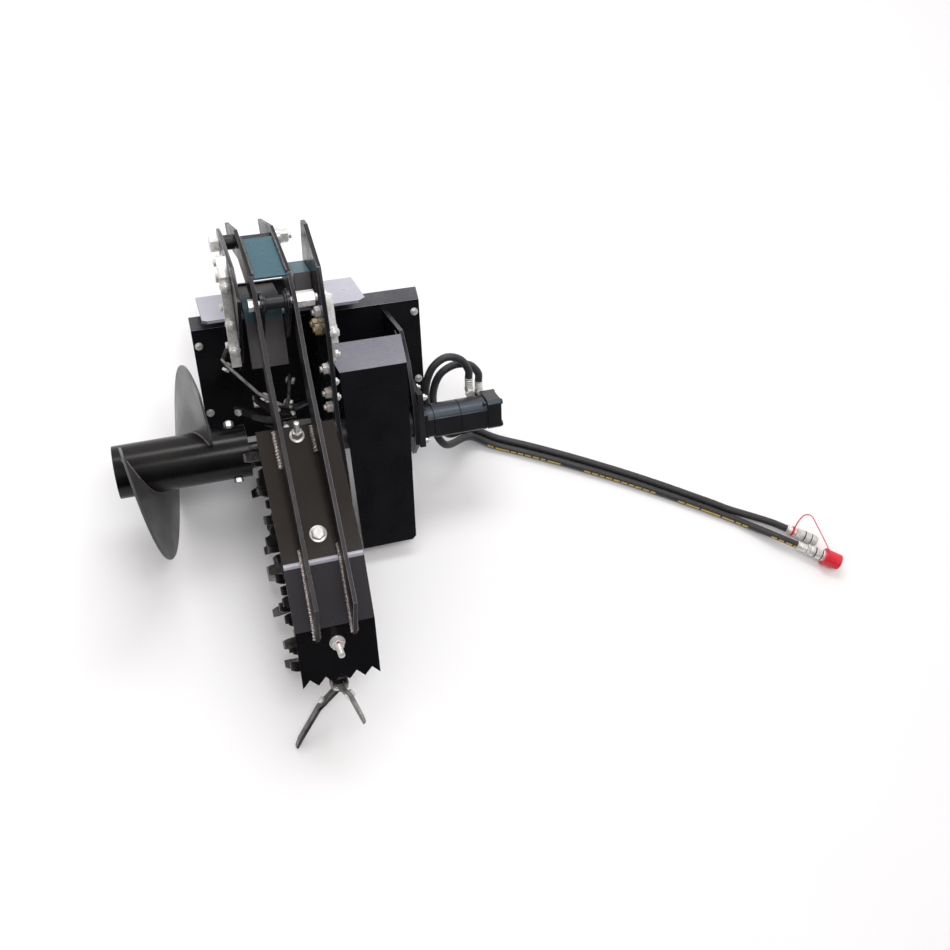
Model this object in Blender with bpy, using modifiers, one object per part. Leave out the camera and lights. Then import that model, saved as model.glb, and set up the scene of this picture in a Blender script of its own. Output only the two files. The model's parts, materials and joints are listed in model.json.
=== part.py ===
"""Hydraulic chain trencher attachment for a small loader, parked on level ground.

The machine is laid out in the frame of its mount plate: X along the head shaft towards the
motor, Y away from the boom towards the loader, Z up the plate, and the origin on the head
shaft in the middle plane of the boom. The root empty leans that frame back by TILT, the way
the machine rests on its two lower lugs and the nose of the boom.
"""
import math

import bmesh
import bpy
from mathutils import Matrix, Vector

# ---------------------------------------------------------------- driving dimensions (metres)
GAP = 0.0003
TILT = math.radians(42.5)
SHAFT_HEIGHT = 0.252
CENTRE_X = -0.066
CENTRE_Y = 0.0388

PLATE_LEFT, PLATE_RIGHT = -0.205, 0.445
PLATE_FRONT, PLATE_THICK = 0.255, 0.010
PLATE_BOTTOM, PLATE_BEND = -0.028, 0.262
LIP_RISE = 0.029
APRON_LEFT, APRON_RIGHT, APRON_BOTTOM = -0.200, 0.395, -0.085
LUG_DROP = -0.0878

SHELF_Z, SHELF_THICK = 0.330, 0.008
SHELF_LEFT, SHELF_RIGHT = -0.176, 0.262
SHELF_FRONT, SHELF_BACK = 0.100, 0.305

LEFT_PLATE_X, RIGHT_PLATE_X, MOTOR_PLATE_X = (-0.094, -0.084), (0.112, 0.124), (0.335, 0.347)
TOWER_TOP = 0.565

SHAFT_RADIUS = 0.020
HOUSING_RADIUS, HOUSING_WALL = 0.042, 0.008
TUBE_LEFT, TUBE_RIGHT = -0.459, -0.116
TUBE_RADIUS, TUBE_WALL = 0.070, 0.008
FLIGHT_RADIUS, FLIGHT_THICK = 0.250, 0.006
FLIGHT_START, FLIGHT_PITCH = -0.431, 0.222
FLIGHT_ANGLE = math.radians(40.0)

BOOM_SLOPE = math.radians(52.75)
NOSE_REACH = 0.603
HEAD_PITCH_RADIUS, NOSE_PITCH_RADIUS = 0.078, 0.052
CHAIN_INSIDE, CHAIN_OUTSIDE, CHAIN_WIDTH = 0.010, 0.012, 0.034
BAR_WIDTH, BAR_HALF_DEPTH = 0.025, 0.037
BAR_START, BAR_END = 0.125, 0.500

PIVOT_Y, PIVOT_Z = -0.060, 0.420
ARM_CENTRE, ARM_THICK = 0.0475, 0.010
SHOE_HALF_WIDTH, SHOE_THICK = 0.1005, 0.006
STOP_PIN_Y, STOP_PIN_Z = 0.245, 0.497
LIFT_RANGE = math.radians(12.0)

MOTOR_HALF = 0.044
MOTOR_LEFT, MOTOR_RIGHT = 0.3643, 0.591
HOSE_RADIUS = 0.0112
COUPLER_RADIUS = 0.0175
CAP_RADIUS = 0.026

BLACK = ("satin_black", (0.016, 0.017, 0.020), 0.32, 0.0)
DARK_STEEL = ("dark_steel", (0.060, 0.058, 0.056), 0.45, 0.9)
ZINC = ("zinc", (0.72, 0.70, 0.66), 0.32, 1.0)
MOTOR_BLACK = ("motor_black", (0.030, 0.031, 0.036), 0.42, 0.0)
RUBBER = ("hose_rubber", (0.035, 0.035, 0.038), 0.60, 0.0)
RED = ("red_plastic", (0.72, 0.03, 0.06), 0.40, 0.0)


# ---------------------------------------------------------------------------------- set-up
def clear_scene():
    for item in list(bpy.data.objects):
        bpy.data.objects.remove(item, do_unlink=True)


def new_collection(name):
    collection = bpy.data.collections.new(name)
    bpy.context.scene.collection.children.link(collection)
    return collection


clear_scene()
PARTS = new_collection("trencher")
TOOLS = new_collection("trencher_cutters")
GROUPS = {}
MATERIALS = {}


def material(spec):
    name, colour, roughness, metallic = spec
    if name not in MATERIALS:
        made = bpy.data.materials.new(name)
        made.use_nodes = True
        shader = made.node_tree.nodes["Principled BSDF"]
        shader.inputs["Base Color"].default_value = (*colour, 1.0)
        shader.inputs["Roughness"].default_value = roughness
        shader.inputs["Metallic"].default_value = metallic
        made.diffuse_color = (*colour, 1.0)
        MATERIALS[name] = made
    return MATERIALS[name]


def add_group(name, location, parent=None):
    """An empty on a joint's axis, which carries the pieces that move together."""
    holder = bpy.data.objects.new(name, None)
    holder.empty_display_size = 0.05
    PARTS.objects.link(holder)
    place = Vector(location)
    if parent is None:
        holder.location = (CENTRE_X, CENTRE_Y, SHAFT_HEIGHT)
        holder.rotation_euler = (-TILT, 0.0, 0.0)
    else:
        holder.parent = GROUPS[parent][0]
        holder.location = place - GROUPS[parent][1]
    GROUPS[name] = (holder, place)


def settle(item, group, look=None):
    """Put a piece in the parts collection, on its group's empty, with its material."""
    PARTS.objects.link(item)
    if group is not None:
        holder, place = GROUPS[group]
        item.parent = holder
        item.location = item.location - place
    if look is not None:
        item.data.materials.clear()
        item.data.materials.append(material(look))
    return item


def keep_tool(item, level):
    """File a cutter away. It leans with the machine unless it belongs to a piece on the ground."""
    TOOLS.objects.link(item)
    item.parent = None if level else GROUPS["trencher_root"][0]
    item.hide_render = True
    item.display_type = "WIRE"
    return item


def boolean(item, operation, tools, level):
    for tool in tools:
        keep_tool(tool, level)
        step = item.modifiers.new(tool.name, "BOOLEAN")
        step.operation = operation
        step.solver = "EXACT"
        step.object = tool
    return item


def cut(item, *tools, level=False):
    return boolean(item, "DIFFERENCE", tools, level)


def weld_on(item, *tools, level=False):
    return boolean(item, "UNION", tools, level)


def smooth(item):
    item.data.shade_smooth()
    item.data.set_sharp_from_angle(angle=math.radians(35.0))
    return item


# ------------------------------------------------------------------------------ plain shapes
def mesh_object(name, bm, matrix=None):
    mesh = bpy.data.meshes.new(name)
    bm.to_mesh(mesh)
    bm.free()
    item = bpy.data.objects.new(name, mesh)
    if matrix is not None:
        item.matrix_basis = matrix
    return item


def box(name, x, y, z, turn_x=0.0):
    """A block between the pairs of limits, optionally turned about X through its centre."""
    bm = bmesh.new()
    bmesh.ops.create_cube(bm, size=1.0)
    size = Vector((x[1] - x[0], y[1] - y[0], z[1] - z[0]))
    bmesh.ops.scale(bm, vec=size, verts=bm.verts)
    centre = Vector(((x[0] + x[1]) / 2, (y[0] + y[1]) / 2, (z[0] + z[1]) / 2))
    return mesh_object(name, bm, Matrix.Translation(centre) @ Matrix.Rotation(turn_x, 4, "X"))


def rod(name, start, end, radius, sides=24, radius_end=None):
    """A round or many-sided bar from one point to another."""
    start = Vector(start)
    end = Vector(end)
    bm = bmesh.new()
    last = radius if radius_end is None else radius_end
    length = (end - start).length
    bmesh.ops.create_cone(
        bm, cap_ends=True, segments=sides, radius1=radius, radius2=last, depth=length
    )
    aim = (end - start).to_track_quat("Z", "X").to_matrix().to_4x4()
    item = mesh_object(name, bm, Matrix.Translation((start + end) / 2) @ aim)
    return smooth(item) if sides > 8 else item


def rod_x(name, x0, x1, radius, y=0.0, z=0.0, sides=24):
    return rod(name, (x0, y, z), (x1, y, z), radius, sides)


def curve_to_mesh(item):
    """A mesh copy of a curve object, with its loose caps welded."""
    bpy.context.scene.collection.objects.link(item)
    bpy.context.view_layer.update()
    graph = bpy.context.evaluated_depsgraph_get()
    mesh = bpy.data.meshes.new_from_object(item.evaluated_get(graph))
    matrix = item.matrix_world.copy()
    name = item.name
    bpy.data.objects.remove(item, do_unlink=True)
    bm = bmesh.new()
    bm.from_mesh(mesh)
    bmesh.ops.remove_doubles(bm, verts=bm.verts, dist=1e-6)
    bm.to_mesh(mesh)
    bm.free()
    made = bpy.data.objects.new(name, mesh)
    made.matrix_basis = matrix
    return made


AXES = {
    "X": (math.radians(90.0), 0.0, math.radians(90.0)),
    "Y": (math.radians(90.0), 0.0, 0.0),
    "Z": (0.0, 0.0, 0.0),
}


def plate(name, axis, low, high, outline, holes=()):
    """A flat piece: its outline is given in (y, z), (x, z) or (x, y) and it is thick along axis."""
    data = bpy.data.curves.new(name, "CURVE")
    data.dimensions = "2D"
    data.fill_mode = "BOTH"
    data.extrude = (high - low) / 2
    for points in (outline, *holes):
        spline = data.splines.new("POLY")
        spline.points.add(len(points) - 1)
        for point, place in zip(spline.points, points):
            point.co = (place[0], place[1], 0.0, 1.0)
        spline.use_cyclic_u = True
    item = bpy.data.objects.new(name, data)
    item.rotation_euler = AXES[axis]
    item.location["XYZ".index(axis)] = (low + high) / 2
    return curve_to_mesh(item)


def circle(y, z, radius, count=24):
    turns = [2 * math.pi * k / count for k in range(count)]
    return [(y + radius * math.cos(t), z + radius * math.sin(t)) for t in turns]


def sheet(points, thickness):
    """The closed outline of a bent sheet: the line given and its copy offset to the right."""
    offset = []
    for k, point in enumerate(points):
        here = Vector(point)
        before = Vector(points[max(k - 1, 0)])
        after = Vector(points[min(k + 1, len(points) - 1)])
        first = (here - before).normalized() if k > 0 else (after - here).normalized()
        last = (after - here).normalized() if k < len(points) - 1 else first
        normal = Vector((first.y + last.y, -first.x - last.x)).normalized()
        reach = thickness / max(normal.dot(Vector((first.y, -first.x))), 0.2)
        offset.append(tuple(here + normal * reach))
    return list(points) + offset[::-1]


def turned(name, profile, x=0.0, sides=32):
    """A piece turned about X. The profile is a closed (radius, x) loop, down the outer side first."""
    bm = bmesh.new()
    verts = [bm.verts.new((radius, 0.0, -along)) for radius, along in profile]
    for k, vert in enumerate(verts):
        bm.edges.new((vert, verts[(k + 1) % len(verts)]))
    matrix = Matrix.Translation((x, 0.0, 0.0)) @ Matrix.Rotation(math.radians(-90.0), 4, "Y")
    item = mesh_object(name, bm, matrix)
    spin = item.modifiers.new("turn", "SCREW")
    spin.steps = sides
    spin.render_steps = sides
    spin.use_merge_vertices = True
    spin.merge_threshold = 0.0001
    spin.use_smooth_shade = False
    return item


def boom(along, across):
    """The (y, z) place at a distance along the boom from the head shaft, and above its middle."""
    ahead = Vector((-math.cos(BOOM_SLOPE), -math.sin(BOOM_SLOPE)))
    above = Vector((-math.sin(BOOM_SLOPE), math.cos(BOOM_SLOPE)))
    place = ahead * along + above * across
    return place.x, place.y


def boom_box(name, x, along, across):
    corners = [(along[0], across[0]), (along[1], across[0]), (along[1], across[1]), (along[0], across[1])]
    return plate(name, "X", x[0], x[1], [boom(s, h) for s, h in corners])


def to_ground(point):
    """A place in the mount plate's frame, as seen in the level frame of the ground."""
    x, y, z = point
    return (
        CENTRE_X + x,
        CENTRE_Y + y * math.cos(TILT) + z * math.sin(TILT),
        SHAFT_HEIGHT - y * math.sin(TILT) + z * math.cos(TILT),
    )


# ---------------------------------------------------------------------------- fixed frame
add_group("trencher_root", (0.0, 0.0, 0.0))
FRAME = "trencher_root"


def add_mount_plate():
    top = PLATE_BEND + LIP_RISE
    front = [
        (PLATE_FRONT, PLATE_BOTTOM),
        (PLATE_FRONT, PLATE_BEND),
        (PLATE_FRONT + LIP_RISE, top),
    ]
    item = plate("mount_plate", "X", PLATE_LEFT, PLATE_RIGHT, sheet(front, PLATE_THICK))
    low = [
        (APRON_LEFT, PLATE_BOTTOM + 0.006),
        (APRON_LEFT, APRON_BOTTOM + 0.015),
        (APRON_LEFT + 0.015, APRON_BOTTOM),
        (APRON_RIGHT - 0.015, APRON_BOTTOM),
        (APRON_RIGHT, APRON_BOTTOM + 0.015),
        (APRON_RIGHT, PLATE_BOTTOM + 0.006),
    ]
    item = weld_on(item, plate("plate_apron", "Y", PLATE_FRONT, PLATE_FRONT + PLATE_THICK, low))
    slots = [
        box(f"pin_slot_{k}", (x - 0.030, x + 0.030), (0.24, 0.28), (0.004, 0.030))
        for k, x in enumerate(PIN_SLOTS)
    ]
    bolts = [
        rod(f"plate_bolt_hole_{k}", (x, 0.24, z), (x, 0.28, z), 0.0058, 16)
        for k, (x, z) in enumerate(PLATE_BOLTS)
    ]
    settle(cut(item, *slots, *bolts), FRAME, BLACK)


PIN_SLOTS = (-0.035, 0.275)
PLATE_BOLTS = ((-0.190, 0.214), (-0.190, 0.010), (0.429, 0.226), (0.429, 0.014))


def add_lower_lugs():
    back = PLATE_FRONT + PLATE_THICK + GAP
    outline = [
        (back, 0.050),
        (back, LUG_DROP),
        (back + 0.012, LUG_DROP),
        (back + 0.012, -0.050),
        (back + 0.050, -0.010),
        (back + 0.050, 0.050),
    ]
    for name, low, high in (("lower_lug_left", -0.184, -0.149), ("lower_lug_right", 0.398, 0.441)):
        settle(plate(name, "X", low, high, outline), FRAME, BLACK)


def add_shelf():
    left, right, front, back = SHELF_LEFT, SHELF_RIGHT, SHELF_FRONT, SHELF_BACK
    outline = [(left, back), (left, front + 0.012), (left + 0.012, front), (right - 0.020, front)]
    outline += [(right, front + 0.020), (right, back)]
    item = plate("shelf_plate", "Z", SHELF_Z, SHELF_Z + SHELF_THICK, outline)
    slots = [
        box(f"shelf_slot_{k}", (x[0] - GAP, x[1] + GAP), (0.05, PLATE_FRONT), (0.32, 0.35))
        for k, x in enumerate((LEFT_PLATE_X, RIGHT_PLATE_X))
    ]
    settle(cut(item, *slots), FRAME, BLACK)


def arc(centre, radius, start, end, count):
    step = (end - start) / (count - 1)
    turns = [start + step * k for k in range(count)]
    return [(centre[0] + radius * math.cos(t), centre[1] + radius * math.sin(t)) for t in turns]


def stop_slot():
    """The curved slot, about the pivot, in which the stop pin travels."""
    pivot = (PIVOT_Y, PIVOT_Z)
    reach = math.hypot(STOP_PIN_Y - PIVOT_Y, STOP_PIN_Z - PIVOT_Z)
    high = math.atan2(STOP_PIN_Z - PIVOT_Z, STOP_PIN_Y - PIVOT_Y) + math.radians(2.2)
    low = high - LIFT_RANGE - math.radians(4.4)
    outer = arc(pivot, reach + 0.0098, low, high, 7)
    inner = arc(pivot, reach - 0.0098, high, low, 7)
    return outer + inner


def add_side_plates():
    wall = PLATE_FRONT - GAP
    top = SHELF_Z + SHELF_THICK + GAP
    left = [
        (wall, 0.150),
        (wall, top),
        (0.300, top),
        (0.300, 0.505),
        (0.280, 0.528),
        (0.200, 0.532),
        (-0.030, 0.512),
        (-0.080, 0.468),
        (-0.095, 0.445),
        (-0.060, 0.400),
        (0.040, 0.293),
        (0.075, 0.235),
        (0.190, 0.150),
    ]
    settle(plate("side_plate_left", "X", *LEFT_PLATE_X, left, [stop_slot()]), FRAME, BLACK)
    right = [
        (wall, PLATE_BOTTOM),
        (wall, top),
        (0.240, 0.380),
        (0.175, 0.430),
        (0.150, 0.520),
        (0.130, TOWER_TOP),
        (0.085, TOWER_TOP),
        (-0.060, 0.495),
        (-0.098, 0.350),
        (-0.100, 0.100),
        (-0.150, -0.040),
        (-0.166, -0.150),
        (-0.105, -0.205),
        (0.010, -0.110),
        (0.150, -0.070),
    ]
    hole = [circle(0.0, 0.0, 0.030)]
    settle(plate("side_plate_right", "X", *RIGHT_PLATE_X, right, hole), FRAME, BLACK)
    motor = [
        (wall, PLATE_BOTTOM),
        (wall, 0.245),
        (0.060, 0.252),
        (-0.004, 0.180),
        (-0.048, 0.060),
        (-0.048, -0.050),
        (0.000, -0.100),
        (0.160, -0.070),
    ]
    settle(plate("motor_side_plate", "X", *MOTOR_PLATE_X, motor, hole), FRAME, BLACK)


def add_bearing_housing():
    left = RIGHT_PLATE_X[1] + GAP
    right = MOTOR_PLATE_X[0] - GAP
    inner = HOUSING_RADIUS - HOUSING_WALL
    tube = [(HOUSING_RADIUS, left), (HOUSING_RADIUS, right), (inner, right), (inner, left)]
    settle(turned("bearing_housing", tube), FRAME, BLACK)
    ring = [(inner - GAP, 0.0), (inner - GAP, 0.022)]
    ring += [(SHAFT_RADIUS + GAP, 0.022), (SHAFT_RADIUS + GAP, 0.0)]
    for k, x in enumerate((left + 0.006, right - 0.028)):
        settle(turned(f"shaft_bearing_{k + 1}", ring, x, 24), FRAME, DARK_STEEL)


def add_tower():
    inner = RIGHT_PLATE_X[0] - GAP
    block = box("tower_stop_block", (0.068, inner), (0.050, 0.150), (0.395, 0.452))
    settle(block, FRAME, BLACK)
    low = SHELF_Z + SHELF_THICK + GAP
    edge = LEFT_PLATE_X[1] + GAP
    cross = box("tower_cross_plate", (edge, inner), (0.205, 0.213), (low, 0.392))
    settle(cross, FRAME, BLACK)
    dome = arc((0.112, 0.325), 0.062, math.pi, math.radians(100.0), 7)
    line = [(0.050, 0.207), *dome, (0.205 - GAP, 0.386)]
    guard = plate("chain_guard", "X", -0.070, 0.028, sheet(line, 0.005))
    settle(guard, FRAME, BLACK)


def add_pivot():
    lug = arc((PIVOT_Y, PIVOT_Z), 0.030, math.radians(20.0), math.radians(210.0), 9)
    lug += [(0.012, 0.300), (0.050 - GAP, 0.280), (0.050 - GAP, 0.325)]
    hole = [circle(PIVOT_Y, PIVOT_Z, 0.0103, 20)]
    for name, low, high in (("pivot_lug_left", -0.037, -0.029), ("pivot_lug_right", 0.029, 0.037)):
        settle(plate(name, "X", low, high, lug, hole), FRAME, BLACK)
    collar, body, bore = 0.024, 0.0165, 0.0103
    half = 0.029 - GAP
    profile = [(collar, -half), (collar, -half + 0.006), (body, -half + 0.006), (body, half - 0.006)]
    profile += [(collar, half - 0.006), (collar, half), (bore, half), (bore, -half)]
    tube = turned("pivot_tube", profile, 0.0, 24)
    tube.location.y = PIVOT_Y
    tube.location.z = PIVOT_Z
    settle(tube, FRAME, BLACK)
    y, z = PIVOT_Y, PIVOT_Z
    outer = ARM_CENTRE + ARM_THICK / 2 + 2 * GAP
    bolt = rod_x("pivot_bolt", -outer - 0.003, 0.106, 0.010, y, z)
    head = rod_x("pivot_bolt_head", -outer - 0.013, -outer, 0.016, y, z, 6)
    nut = rod_x("pivot_bolt_nut", outer, 0.098, 0.0205, y, z, 6)
    settle(weld_on(bolt, head, nut), FRAME, ZINC)


def add_straps():
    """Zinc link bars bolted to the faces of the two tower plates."""
    low, high = LEFT_PLATE_X[0] - GAP - 0.008, LEFT_PLATE_X[0] - GAP
    outline = arc((0.045, 0.470), 0.018, 0.0, math.pi, 7)
    outline += arc((0.078, 0.250), 0.018, math.pi, 2 * math.pi, 7)
    settle(plate("link_bar_left", "X", low, high, outline), FRAME, ZINC)
    low, high = RIGHT_PLATE_X[1] + GAP, RIGHT_PLATE_X[1] + GAP + 0.008
    outline = arc((-0.045, 0.410), 0.020, 0.0, math.pi, 7)
    outline += arc((-0.072, 0.265), 0.020, math.pi, 2 * math.pi, 7)
    settle(plate("link_bar_right", "X", low, high, outline), FRAME, ZINC)


def add_hood():
    """Guard over the bearing housing: a leaning front panel, a sloping top and a side flange."""
    right = MOTOR_PLATE_X[0] - GAP
    crease_y, crease_z = -0.036, 0.197
    front = [(0.145, 0.0), (0.328, 0.0), (0.313, -0.528), (0.303, -0.538), (0.157, -0.538)]
    item = plate("hood", "Y", -0.0015, 0.0015, front)
    item.rotation_euler.x -= math.radians(3.0)
    item.location = (0.0, crease_y, crease_z)
    corner = RIGHT_PLATE_X[1] + GAP
    deep = 0.0915
    top = [(0.145, -0.002), (0.328, -0.002), (right, deep), (corner, deep)]
    cap = plate("hood_top", "Y", -0.0015, 0.0015, top)
    cap.rotation_euler.x -= math.radians(56.1)
    cap.location = (0.0, crease_y, crease_z)
    side = [(-0.0375, 0.190), (0.030, 0.241), (0.070, 0.250), (0.060, 0.100), (0.000, 0.060), (-0.042, 0.070)]
    flange = plate("hood_flange", "X", 0.3245, 0.3275, side)
    settle(weld_on(item, cap, flange), FRAME, BLACK)


def add_boom():
    half = BAR_WIDTH / 2
    bar = boom_box("boom_bar", (-half, half), (BAR_START, BAR_END), (-BAR_HALF_DEPTH, BAR_HALF_DEPTH))
    y1, z1 = boom(0.400, 0.0)
    y2, z2 = boom(0.455, 0.0)
    holes = [
        rod_x("clamp_hole_1", -0.03, 0.03, 0.0083, y1, z1, 16),
        rod_x("clamp_hole_2", -0.03, 0.03, 0.0083, y2, z2, 16),
    ]
    settle(cut(bar, *holes), FRAME, BLACK)
    for k, (y, z) in enumerate(((y1, z1), (y2, z2))):
        shank = rod_x(f"clamp_bolt_{k + 1}", -0.026, 0.030, 0.008, y, z, 16)
        head = rod_x(f"clamp_bolt_head_{k}", -0.031, -0.0213, 0.013, y, z, 6)
        nut = rod_x(f"clamp_bolt_nut_{k}", 0.0213, 0.029, 0.013, y, z, 6)
        settle(weld_on(shank, head, nut), FRAME, ZINC)
    inner = RIGHT_PLATE_X[0] - GAP
    settle(boom_box("boom_bracket", (half + GAP, inner), (0.130, 0.210), (-0.030, 0.030)), FRAME, BLACK)


def chain_line(offset, count=16):
    """The closed line of the chain at an offset from its pitch line, round head and nose."""
    head, nose = HEAD_PITCH_RADIUS + offset, NOSE_PITCH_RADIUS + offset
    reach = math.acos((head - nose) / NOSE_REACH)
    points = arc((0.0, 0.0), head, reach, 2 * math.pi - reach, count)
    points += arc((NOSE_REACH, 0.0), nose, -reach, reach, count)
    return [boom(s, h) for s, h in points]


def add_chain():
    half = CHAIN_WIDTH / 2
    inside = chain_line(-CHAIN_INSIDE)
    settle(plate("digging_chain", "X", -half, half, chain_line(CHAIN_OUTSIDE), [inside]), FRAME, DARK_STEEL)


def chain_place(distance):
    """The (along, across, heading) of the pitch line a distance on from the top of the head."""
    head, nose = HEAD_PITCH_RADIUS, NOSE_PITCH_RADIUS
    reach = math.acos((head - nose) / NOSE_REACH)
    straight = NOSE_REACH * math.sin(reach)
    lean = math.pi / 2 - reach
    around_nose = nose * 2 * reach
    around_head = head * (2 * math.pi - 2 * reach)
    distance %= 2 * straight + around_nose + around_head
    if distance < straight:
        along = head * math.cos(reach) + distance * math.cos(lean)
        return along, head * math.sin(reach) - distance * math.sin(lean), -lean
    distance -= straight
    if distance < around_nose:
        turn = reach - distance / nose
        return NOSE_REACH + nose * math.cos(turn), nose * math.sin(turn), turn - math.pi / 2
    distance -= around_nose
    if distance < straight:
        turn = -reach
        along = NOSE_REACH + nose * math.cos(turn) - distance * math.cos(lean)
        return along, nose * math.sin(turn) - distance * math.sin(lean), lean - math.pi
    distance -= straight
    turn = -reach - distance / head
    return head * math.cos(turn), head * math.sin(turn), turn - math.pi / 2


def add_cutter(number, distance, side, reach, flare):
    """One digging tooth: a foot on the chain and an arm that leans out to one side."""
    along, across, heading = chain_place(distance)
    foot = CHAIN_OUTSIDE + GAP
    outline = [
        (-0.021, foot),
        (0.021, foot),
        (0.021, foot + 0.004),
        (flare + 0.007, reach - 0.010),
        (flare, reach),
        (flare - 0.012, reach),
        (-0.012, foot + 0.016),
        (-0.021, foot + 0.010),
    ]
    item = plate(f"cutter_{number:02d}", "Y", -0.008, 0.008, [(side * x, h) for x, h in outline])
    y, z = boom(along, across)
    outward = heading + math.pi / 2
    tip_y, tip_z = boom(along + math.cos(outward), across + math.sin(outward))
    turn = math.atan2(y - tip_y, tip_z - z)
    item.matrix_basis = Matrix.Translation((0.0, y, z)) @ Matrix.Rotation(turn, 4, "X") @ item.matrix_basis
    settle(item, FRAME, DARK_STEEL)


def add_cutters():
    """Long side cutters alternate left and right; short ones dig the middle, under the shoe."""
    for number, (distance, side, reach, flare) in enumerate(CUTTERS):
        add_cutter(number + 1, distance, side, reach, flare)


CUTTERS = (
    (0.040, -1, 0.105, 0.140),
    (0.190, 1, 0.075, 0.050),
    (0.330, -1, 0.085, 0.135),
    (0.520, -1, 0.085, 0.130),
    (0.6637, 1, 0.127, 0.040),
    (0.7057, -1, 0.180, 0.135),
    (0.860, 1, 0.085, 0.080),
    (1.030, -1, 0.100, 0.120),
    (1.200, 1, 0.110, 0.070),
    (1.360, -1, 0.120, 0.120),
    (1.511, -1, 0.177, 0.145),
)


# ------------------------------------------------------------------------- head shaft and auger
add_group("auger_drive", (0.0, 0.0, 0.0), "trencher_root")
ROTOR = "auger_drive"


def add_rotor():
    settle(rod_x("head_shaft", -0.300, MOTOR_PLATE_X[1] - 0.001, SHAFT_RADIUS, sides=32), ROTOR, DARK_STEEL)
    teeth = 9
    outline = []
    for k in range(teeth):
        for share, radius in ((0.0, 0.058), (0.3, 0.066), (0.5, 0.066), (0.8, 0.058)):
            turn = 2 * math.pi * (k + share) / teeth
            outline.append((radius * math.cos(turn), radius * math.sin(turn)))
    bore = [circle(0.0, 0.0, SHAFT_RADIUS + GAP, 32)]
    settle(plate("head_sprocket", "X", -0.011, 0.011, outline, bore), ROTOR, DARK_STEEL)
    inner = TUBE_RADIUS - TUBE_WALL
    tube = [(TUBE_RADIUS, TUBE_LEFT), (TUBE_RADIUS, TUBE_RIGHT), (inner, TUBE_RIGHT), (inner, TUBE_LEFT)]
    bolt_turn = math.radians(236.0)
    aim = Vector((0.0, math.cos(bolt_turn), math.sin(bolt_turn)))
    x = -0.155
    place = Vector((x, 0.0, 0.0))
    pass_through = [
        rod(f"auger_bolt_hole_{k}", place - aim * 0.1, place + aim * 0.1, 0.0083, 16) for k in range(3)
    ]
    settle(cut(turned("auger_tube", tube, sides=40), pass_through[0]), ROTOR, BLACK)
    rim = inner - GAP
    hub = [(rim, -0.300), (rim, -0.290), (0.042, -0.290), (0.042, -0.136), (rim, -0.136), (rim, -0.126)]
    hub += [(SHAFT_RADIUS + GAP, -0.126), (SHAFT_RADIUS + GAP, -0.300)]
    settle(cut(turned("auger_hub", hub), pass_through[1]), ROTOR, BLACK)
    cut(bpy.data.objects["head_shaft"], pass_through[2])
    flat = TUBE_RADIUS + 0.001
    bolt = rod("auger_bolt", place - aim * (flat + 0.016), place + aim * (flat + 0.004), 0.008, 16)
    head = rod("auger_bolt_head", place + aim * flat, place + aim * (flat + 0.010), 0.013, 6)
    nut = rod("auger_bolt_nut", place - aim * flat, place - aim * (flat + 0.013), 0.013, 6)
    settle(weld_on(bolt, head, nut), ROTOR, ZINC)


def add_flight():
    """One turn of right-handed flighting: a swept strip between the tube and the rim."""
    steps = 48
    bm = bmesh.new()
    rings = []
    half = FLIGHT_THICK / 2
    for k in range(steps + 1):
        share = k / steps
        turn = FLIGHT_ANGLE + 2 * math.pi * share
        x = FLIGHT_START + FLIGHT_PITCH * share
        ease = min(1.0, 12.0 * share + 0.45, 12.0 * (1.0 - share) + 0.45)
        outer = TUBE_RADIUS + GAP + (FLIGHT_RADIUS - TUBE_RADIUS - GAP) * ease
        inner = TUBE_RADIUS + 2 * GAP
        aim = Vector((0.0, -math.sin(turn), math.cos(turn)))
        ring = []
        for radius, side in ((inner, -half), (outer, -half), (outer, half), (inner, half)):
            ring.append(bm.verts.new(aim * radius + Vector((x + side, 0.0, 0.0))))
        rings.append(ring)
    for first, last in zip(rings, rings[1:]):
        for k in range(4):
            bm.faces.new((first[k], first[(k + 1) % 4], last[(k + 1) % 4], last[k]))
    bm.faces.new(rings[0][::-1])
    bm.faces.new(rings[-1])
    bmesh.ops.triangulate(bm, faces=bm.faces)
    bmesh.ops.recalc_face_normals(bm, faces=bm.faces)
    settle(mesh_object("auger_flight", bm), ROTOR, BLACK)


# ---------------------------------------------------------------------------- nose of the boom
NOSE_Y, NOSE_Z = boom(NOSE_REACH, 0.0)
add_group("nose_slide", (0.0, NOSE_Y, NOSE_Z), "trencher_root")
add_group("nose_spin", (0.0, NOSE_Y, NOSE_Z), "nose_slide")


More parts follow.
